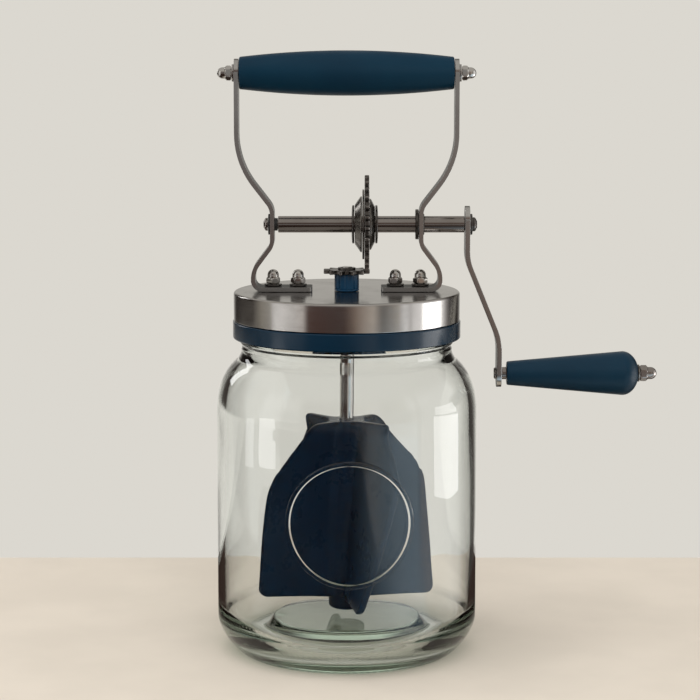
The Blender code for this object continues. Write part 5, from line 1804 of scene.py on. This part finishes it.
@dataclass
class TwistedPaddle(Assembly):
    """Four twisted vanes on a hub, with the shaft and the pinion that turns it."""

    body: str = "paddle"
    hub: float = 10.4 * MM
    hub_round: float = 2.4 * MM
    socket: float = 4.3 * MM
    socket_depth: float = 95.0 * MM
    vane_low: float = 30.0 * MM
    knee: float = 100.0 * MM
    crest: float = 126.0 * MM
    reach_low: float = 52.5 * MM
    reach_knee: float = 52.0 * MM
    reach_top: float = 33.0 * MM
    knee_blend: float = 9.0 * MM
    corner: float = 6.0 * MM
    top_corners: Point = (12.0 * MM, 3.0 * MM)
    root_half: float = 3.2 * MM
    root_fillet: float = 3.4 * MM
    tip_half: float = 2.1 * MM
    turn_low: float = math.radians(8.0)
    turn_high: float = math.radians(46.0)
    fine_step: float = 1.2 * MM
    coarse_step: float = 2.6 * MM
    # Millimetres from the vane's edge and share of its thickness there.
    lower_edge: tuple[Point, ...] = ((0.0, 0.5), (0.25, 0.75), (0.8, 0.93), (1.6, 1.0))
    upper_edge: tuple[Point, ...] = (
        (2.2, 1.0), (1.6, 1.0), (1.1, 0.97), (0.7, 0.91), (0.4, 0.82), (0.15, 0.68), (0.0, 0.5),
    )
    shaft_radius: float = 4.0 * MM
    shaft_end: float = 3.0 * MM
    stop_radius: float = 6.4 * MM
    teeth: int = 12
    gear_radii: Triple = (9.3 * MM, 11.4 * MM, 13.4 * MM)
    tooth_widths: Triple = (2.7 * MM, 2.1 * MM, 1.1 * MM)
    pinion_bore: float = 3.3 * MM
    pinion_hub: float = 5.0 * MM
    pinion_face: float = 2.2 * MM

    def reach(self, height: float, drop: float, corner: float) -> float:
        """Work out how far a vane reaches.

        Args:
            height: where on the paddle.
            drop: how far that is below the top.
            corner: the radius of the vane's top corner.

        Returns:
            The vane's reach from the paddle's axis.
        """
        if height < self.vane_low + self.corner:
            rise = self.corner - (height - self.vane_low)
            return self.reach_low - self.corner + math.sqrt(max(0.0, self.corner ** 2 - rise ** 2))
        share = (height - self.vane_low - self.corner) / (self.knee - self.vane_low - self.corner)
        out = self.reach_low + (self.reach_knee - self.reach_low) * min(1.0, share)
        slope = (self.reach_knee - self.reach_top) / (self.crest - self.knee)
        out -= slope * min(max(0.0, height - self.knee), self.crest - self.knee)
        away = self.knee_blend - abs(height - self.knee)
        if away > 0.0:
            out -= slope * away ** 2 / (4.0 * self.knee_blend)
        over = corner - drop
        return out - (corner - math.sqrt(max(0.0, corner ** 2 - over ** 2)) if over > 0.0 else 0.0)

    def half_vane(self, reach: float, thin: float) -> list[Point]:
        """Trace one side of a vane, from midway to its neighbour out to its tip.

        Args:
            reach: how far the vane reaches.
            thin: share of its full thickness.

        Returns:
            The points, for a vane along X.
        """
        hub, root, tip = self.hub, self.root_half * thin, self.tip_half * thin
        lead = math.asin(min(0.9, (root + 2.4 * MM) / hub))
        half = [polar(hub, -midway) for midway in (EIGHTH, *spaced(EIGHTH, lead, 3))]
        base = min(hub + self.root_fillet, reach - 1.0 * MM)
        half += bezier(half[-1], (hub * 1.06, -root - 0.9 * MM), (hub * 1.12, -root - 0.15 * MM),
                       (base, -root), 6)
        cap = min(tip, reach - base)
        half += [(base + (reach - cap - base) * share, -(root + (tip - root) * share))
                 for share in spaced(0.0, 1.0, 5)[:-1]]
        angles = [QUARTER * i / 5.5 for i in range(6)]
        return half + [(reach - cap + cap * math.sin(a), -tip * math.cos(a)) for a in angles]

    def section(self, height: float, thin: float = 1.0, vaned: bool = True, hub: float = 0.0) -> list[Triple]:
        """Cross-section of hub and vanes with fillets at the roots and round tips.

        Args:
            height: where it lies.
            thin: share of the vanes' full thickness.
            vaned: whether the vanes are there.
            hub: the hub's radius, where it isn't full.

        Returns:
            The points around.
        """
        top = span_of("paddle", Z)[1]
        rise = (height - self.vane_low) / (top - self.vane_low)
        turn = self.turn_low + (self.turn_high - self.turn_low) * max(0.0, rise)
        points: list[Triple] = []
        for vane in range(4):
            if vaned:
                reach = self.reach(height, top - height, self.top_corners[vane % 2])
                half = self.half_vane(reach, thin)
            else:
                half = [polar(hub or self.hub, -EIGHTH * (1.0 - i / 19.0)) for i in range(20)]
            middle = turn + TURN * vane / 4.0
            cos, sin = math.cos(middle), math.sin(middle)
            points += [(x * cos - y * sin, x * sin + y * cos, height)
                       for x, y in half + [(x, -y) for x, y in reversed(half)][:-1]]
        return points

    def vanes(self) -> None:
        """Hub and vanes as one soft moulding with a socket for the shaft."""
        low, top = span_of("paddle", Z)
        rings = []
        for angle in (0.0, *spaced(0.0, QUARTER, 5)):
            inset, rise = (self.hub_round * (1.0 - wave(angle)) for wave in (math.sin, math.cos))
            rings.append(self.section(low + rise, vaned=False, hub=self.hub - inset))
        rings.append(self.section(self.vane_low, vaned=False))
        rings += [self.section(self.vane_low + rise * MM, thin) for rise, thin in self.lower_edge]
        height = self.vane_low + 2.6 * MM
        while height < top - 3.0 * MM:
            rings.append(self.section(height))
            curved = height < self.vane_low + self.corner or height > self.knee - self.knee_blend
            height += self.fine_step if curved else self.coarse_step
        rings += [self.section(top - drop * MM, thin) for drop, thin in self.upper_edge]
        rings += [circle(self.socket, height, len(rings[0]), self.turn_high - EIGHTH)
                  for height in (top, top - self.socket_depth)]
        self.add("soft_vanes", grid(rings, ends=True), self.look.silicone, "paddle", sharp=50.0)

    def axle(self) -> None:
        """Shaft and stop ring."""
        low, high = span_of("paddle_shaft", Z)
        shoulder = span_of("pinion_gear", Z)[0] - FIT
        full, end = self.shaft_radius, self.shaft_end
        rod = lathed(
            (0.0, low), (full, low, 0.4 * MM), (full, shoulder, 0.2 * MM), (end, shoulder),
            (end, high, 0.4 * MM), (0.0, high))
        self.add("paddle_axle", rod, self.look.stem, "paddle_shaft")
        low, high = span_of("shaft_stop_ring", Z)
        stop = raised(flat_washer(self.stop_radius, self.socket, high - low), 0.0, low)
        self.add("stop_ring", stop, self.look.stem, "shaft_stop_ring")

    def pinion(self) -> None:
        """Small gear with its hub."""
        low, high = span_of("pinion_gear", Z)
        bore, hub, face = self.pinion_bore, self.pinion_hub, low + self.pinion_face
        edge = tooth_edge(self.teeth, self.gear_radii, self.tooth_widths, TURN / self.teeth / 2.0)
        tooth = sector_form(edge, bore, low, face, 0.28 * MM)
        form = lathed(
            (bore, face - 0.1 * MM), (hub, face - 0.1 * MM), (hub, high, 0.3 * MM), (bore, high, 0.15 * MM))
        form.from_mesh(sectors_tree().run(tooth, "pinion_ring", self.look.pinion, Copies=self.teeth))
        self.add("star_pinion", form, self.look.pinion, "pinion_gear", sharp=28.0)

    def build(self) -> None:
        """Make every piece that turns with the paddle."""
        self.vanes()
        self.axle()
        self.pinion()


# Studio


@dataclass(frozen=True)
class Lamp:
    """One soft panel that faces the object.

    A window shows in polished surfaces alone, and any other panel only lights.
    """

    name: str
    place: Triple
    size: Point
    radiance: float
    aim: Triple
    window: bool = True

    def hang(self) -> None:
        """Set the lamp into the scene."""
        light = bpy.data.lights.new(self.name, "AREA")
        light.shape = "RECTANGLE"
        light.size, light.size_y = self.size
        light.energy = self.radiance * math.pi * self.size[0] * self.size[1]
        lamp = linked(self.name, light)
        lamp.location = self.place
        way = Vector(self.aim) - Vector(self.place)
        lamp.rotation_euler = way.to_track_quat("-Z", "Y").to_euler()
        lamp.visible_camera = lamp.visible_transmission = False
        lamp.visible_glossy, lamp.visible_diffuse = self.window, not self.window


@dataclass(frozen=True)
class Studio:
    """Pale floor, soft lamps, world and the camera at the photograph's angle."""

    wall: Triple = (0.71, 0.685, 0.63)
    even: Triple = (1.0, 0.985, 0.96)
    ambient: float = 0.70
    ceiling: Triple = (0.50, 0.48, 0.45)
    ceiling_range: Point = (0.3, 0.62)
    front: Triple = (0.35, 0.355, 0.35)
    front_low: Point = (-0.11, -0.02)
    front_high: Point = (0.1, 0.25)
    front_side: Point = (-0.6, -0.1)
    front_share: float = 0.75
    floor_right: float = 2.2
    floor_near: float = -2.0
    floor_far: float = 6.0
    lens: float = 120.86
    sensor: float = 36.0
    camera_place: Triple = (0.00186, -1.3226, 0.3608)
    camera_down: float = math.radians(8.1)
    lamps: tuple[Lamp, ...] = (
        Lamp("left_window_near", (-0.480, -0.185, 0.065), (0.125, 0.075), 3.4, (0.0, 0.0, 0.065)),
        Lamp("left_window_far", (-0.500, -0.035, 0.060), (0.085, 0.065), 1.9, (0.0, 0.0, 0.060)),
        Lamp("right_window_low", (0.471, 0.010, 0.060), (0.257, 0.10), 3.6, (0.0, -0.02, 0.060)),
        Lamp("right_window_high", (0.471, 0.010, 0.155), (0.220, 0.07), 2.6, (0.0, -0.02, 0.155)),
        Lamp("back_window", (-0.82, 0.82, 0.56), (0.20, 0.44), 3.2, (0.0, 0.0, 0.16)),
        Lamp("top_panel", (-0.25, -0.35, 1.5), (1.1, 0.9), 2.8, (0.0, 0.0, 0.15), False),
        Lamp("front_panel", (0.35, -1.5, 0.9), (0.9, 0.9), 4.6, (0.0, 0.0, 0.17), False),
    )
    # Degrees from the front, positive towards the crank, and the room's colour there.
    room: tuple[tuple[float, Triple], ...] = (
        (-154.0, (0.05, 0.042, 0.037)), (-110.0, (0.026, 0.019, 0.015)), (-96.0, (0.36, 0.335, 0.29)),
        (-84.0, (0.42, 0.40, 0.36)), (-77.0, (1.0, 0.99, 0.97)), (-56.0, (1.0, 0.98, 0.95)),
        (-45.0, (0.86, 0.81, 0.77)), (-40.0, (0.10, 0.055, 0.045)), (-3.0, (0.065, 0.032, 0.027)),
        (8.0, (0.27, 0.20, 0.16)), (27.0, (0.60, 0.53, 0.46)), (36.0, (0.12, 0.10, 0.085)),
        (54.0, (0.50, 0.46, 0.41)), (60.0, (1.0, 0.99, 0.98)), (64.0, (1.0, 0.99, 0.98)),
        (67.0, (0.55, 0.53, 0.51)), (71.0, (1.0, 0.99, 0.98)), (114.0, (1.0, 0.99, 0.98)),
        (122.0, (0.30, 0.28, 0.27)), (131.0, (0.04, 0.037, 0.035)), (154.0, (0.055, 0.048, 0.042)),
    )

    def floor(self) -> None:
        """Lay the floor."""
        right, near, far = self.floor_right, self.floor_near, self.floor_far
        corners = [(-right, near, 0.0), (right, near, 0.0), (right, far, 0.0), (-right, far, 0.0)]
        mesh = bpy.data.meshes.new("floor")
        mesh.from_pydata(corners, [], [(0, 1, 2, 3)])
        mesh.materials.append(StudioFloor("studio_floor", "", far=self.wall).material())
        linked("floor", mesh)

    def around(self, tree: NodeTree) -> Sock:
        """Paint the room that polished metal and glass mirror.

        Args:
            tree: the world's nodes.

        Returns:
            The colour by the way that the light goes.
        """
        x, y, z = tree.parts(tree.add("ShaderNodeTexCoord", output="Generated"))
        azimuth = x.math("ARCTAN2", 0.0 - y) / TURN + 0.5
        ends = [(degrees, self.wall) for degrees in (-180.0, -166.0, 168.0, 180.0)]
        stops = [(degrees / 360.0 + 0.5, colour) for degrees, colour in (*ends[:2], *self.room, *ends[2:])]
        room = tree.add("ShaderNodeValToRGB", {"stops": stops}, {0: azimuth})
        front = z.ramp(*self.front_low) * (1.0 - y.ramp(*self.front_side))
        front *= (1.0 - z.ramp(*self.front_high)) * self.front_share
        return tree.mixed(z.ramp(*self.ceiling_range), tree.mixed(front, room, self.front), self.ceiling)

    def world(self) -> None:
        """Even light all round, and for metal and glass a room with bright sides."""
        world = bpy.data.worlds.new("studio")
        bpy.context.scene.world = world
        world.use_nodes = True
        tree = NodeTree(world.node_tree)
        through, shiny, camera = (
            tree.path(f"Is {kind} Ray") for kind in ("Transmission", "Glossy", "Camera"))
        scattered, thrown = tree.path("Diffuse Depth").capped(), tree.mirrored()
        bright = self.ambient * (1.0 - scattered * (through + shiny))
        even, mirrored, back = (
            tree.add("ShaderNodeBackground", None, {"Color": colour, "Strength": strength})
            for colour, strength in (
                ((*self.even, 1.0), bright), (self.around(tree), 1.0), ((*self.wall, 1.0), 1.0))
        )
        polished = thrown * (through + shiny) * (1.0 - scattered)
        straight = camera + through * (1.0 - thrown) * (1.0 - scattered)
        surface = tree.between(straight, tree.between(polished, even, mirrored), back)
        tree.add("ShaderNodeOutputWorld", None, {"Surface": surface})

    def camera(self) -> None:
        """Set the camera where the photograph was taken."""
        data = bpy.data.cameras.new("camera")
        data.lens, data.sensor_width, data.clip_end = self.lens, self.sensor, 50.0
        camera = linked("camera", data)
        camera.location = self.camera_place
        camera.rotation_euler = (QUARTER - self.camera_down, 0.0, 0.0)
        bpy.context.scene.camera = camera

    def build(self) -> None:
        """Make the studio."""
        self.camera()
        self.floor()
        for lamp in self.lamps:
            lamp.hang()
        self.world()
        bpy.context.scene.view_settings.view_transform = "Standard"


def main() -> None:
    """Build the studio and each sub-assembly, in order."""
    logging.basicConfig(level=logging.INFO, format="%(name)s: %(message)s")
    Studio().build()
    for assembly in (GlassJar(), ScrewLid(), CarryFrame(), CrankDrive(), TwistedPaddle()):
        assembly.build()


if __name__ == "__main__":
    main()
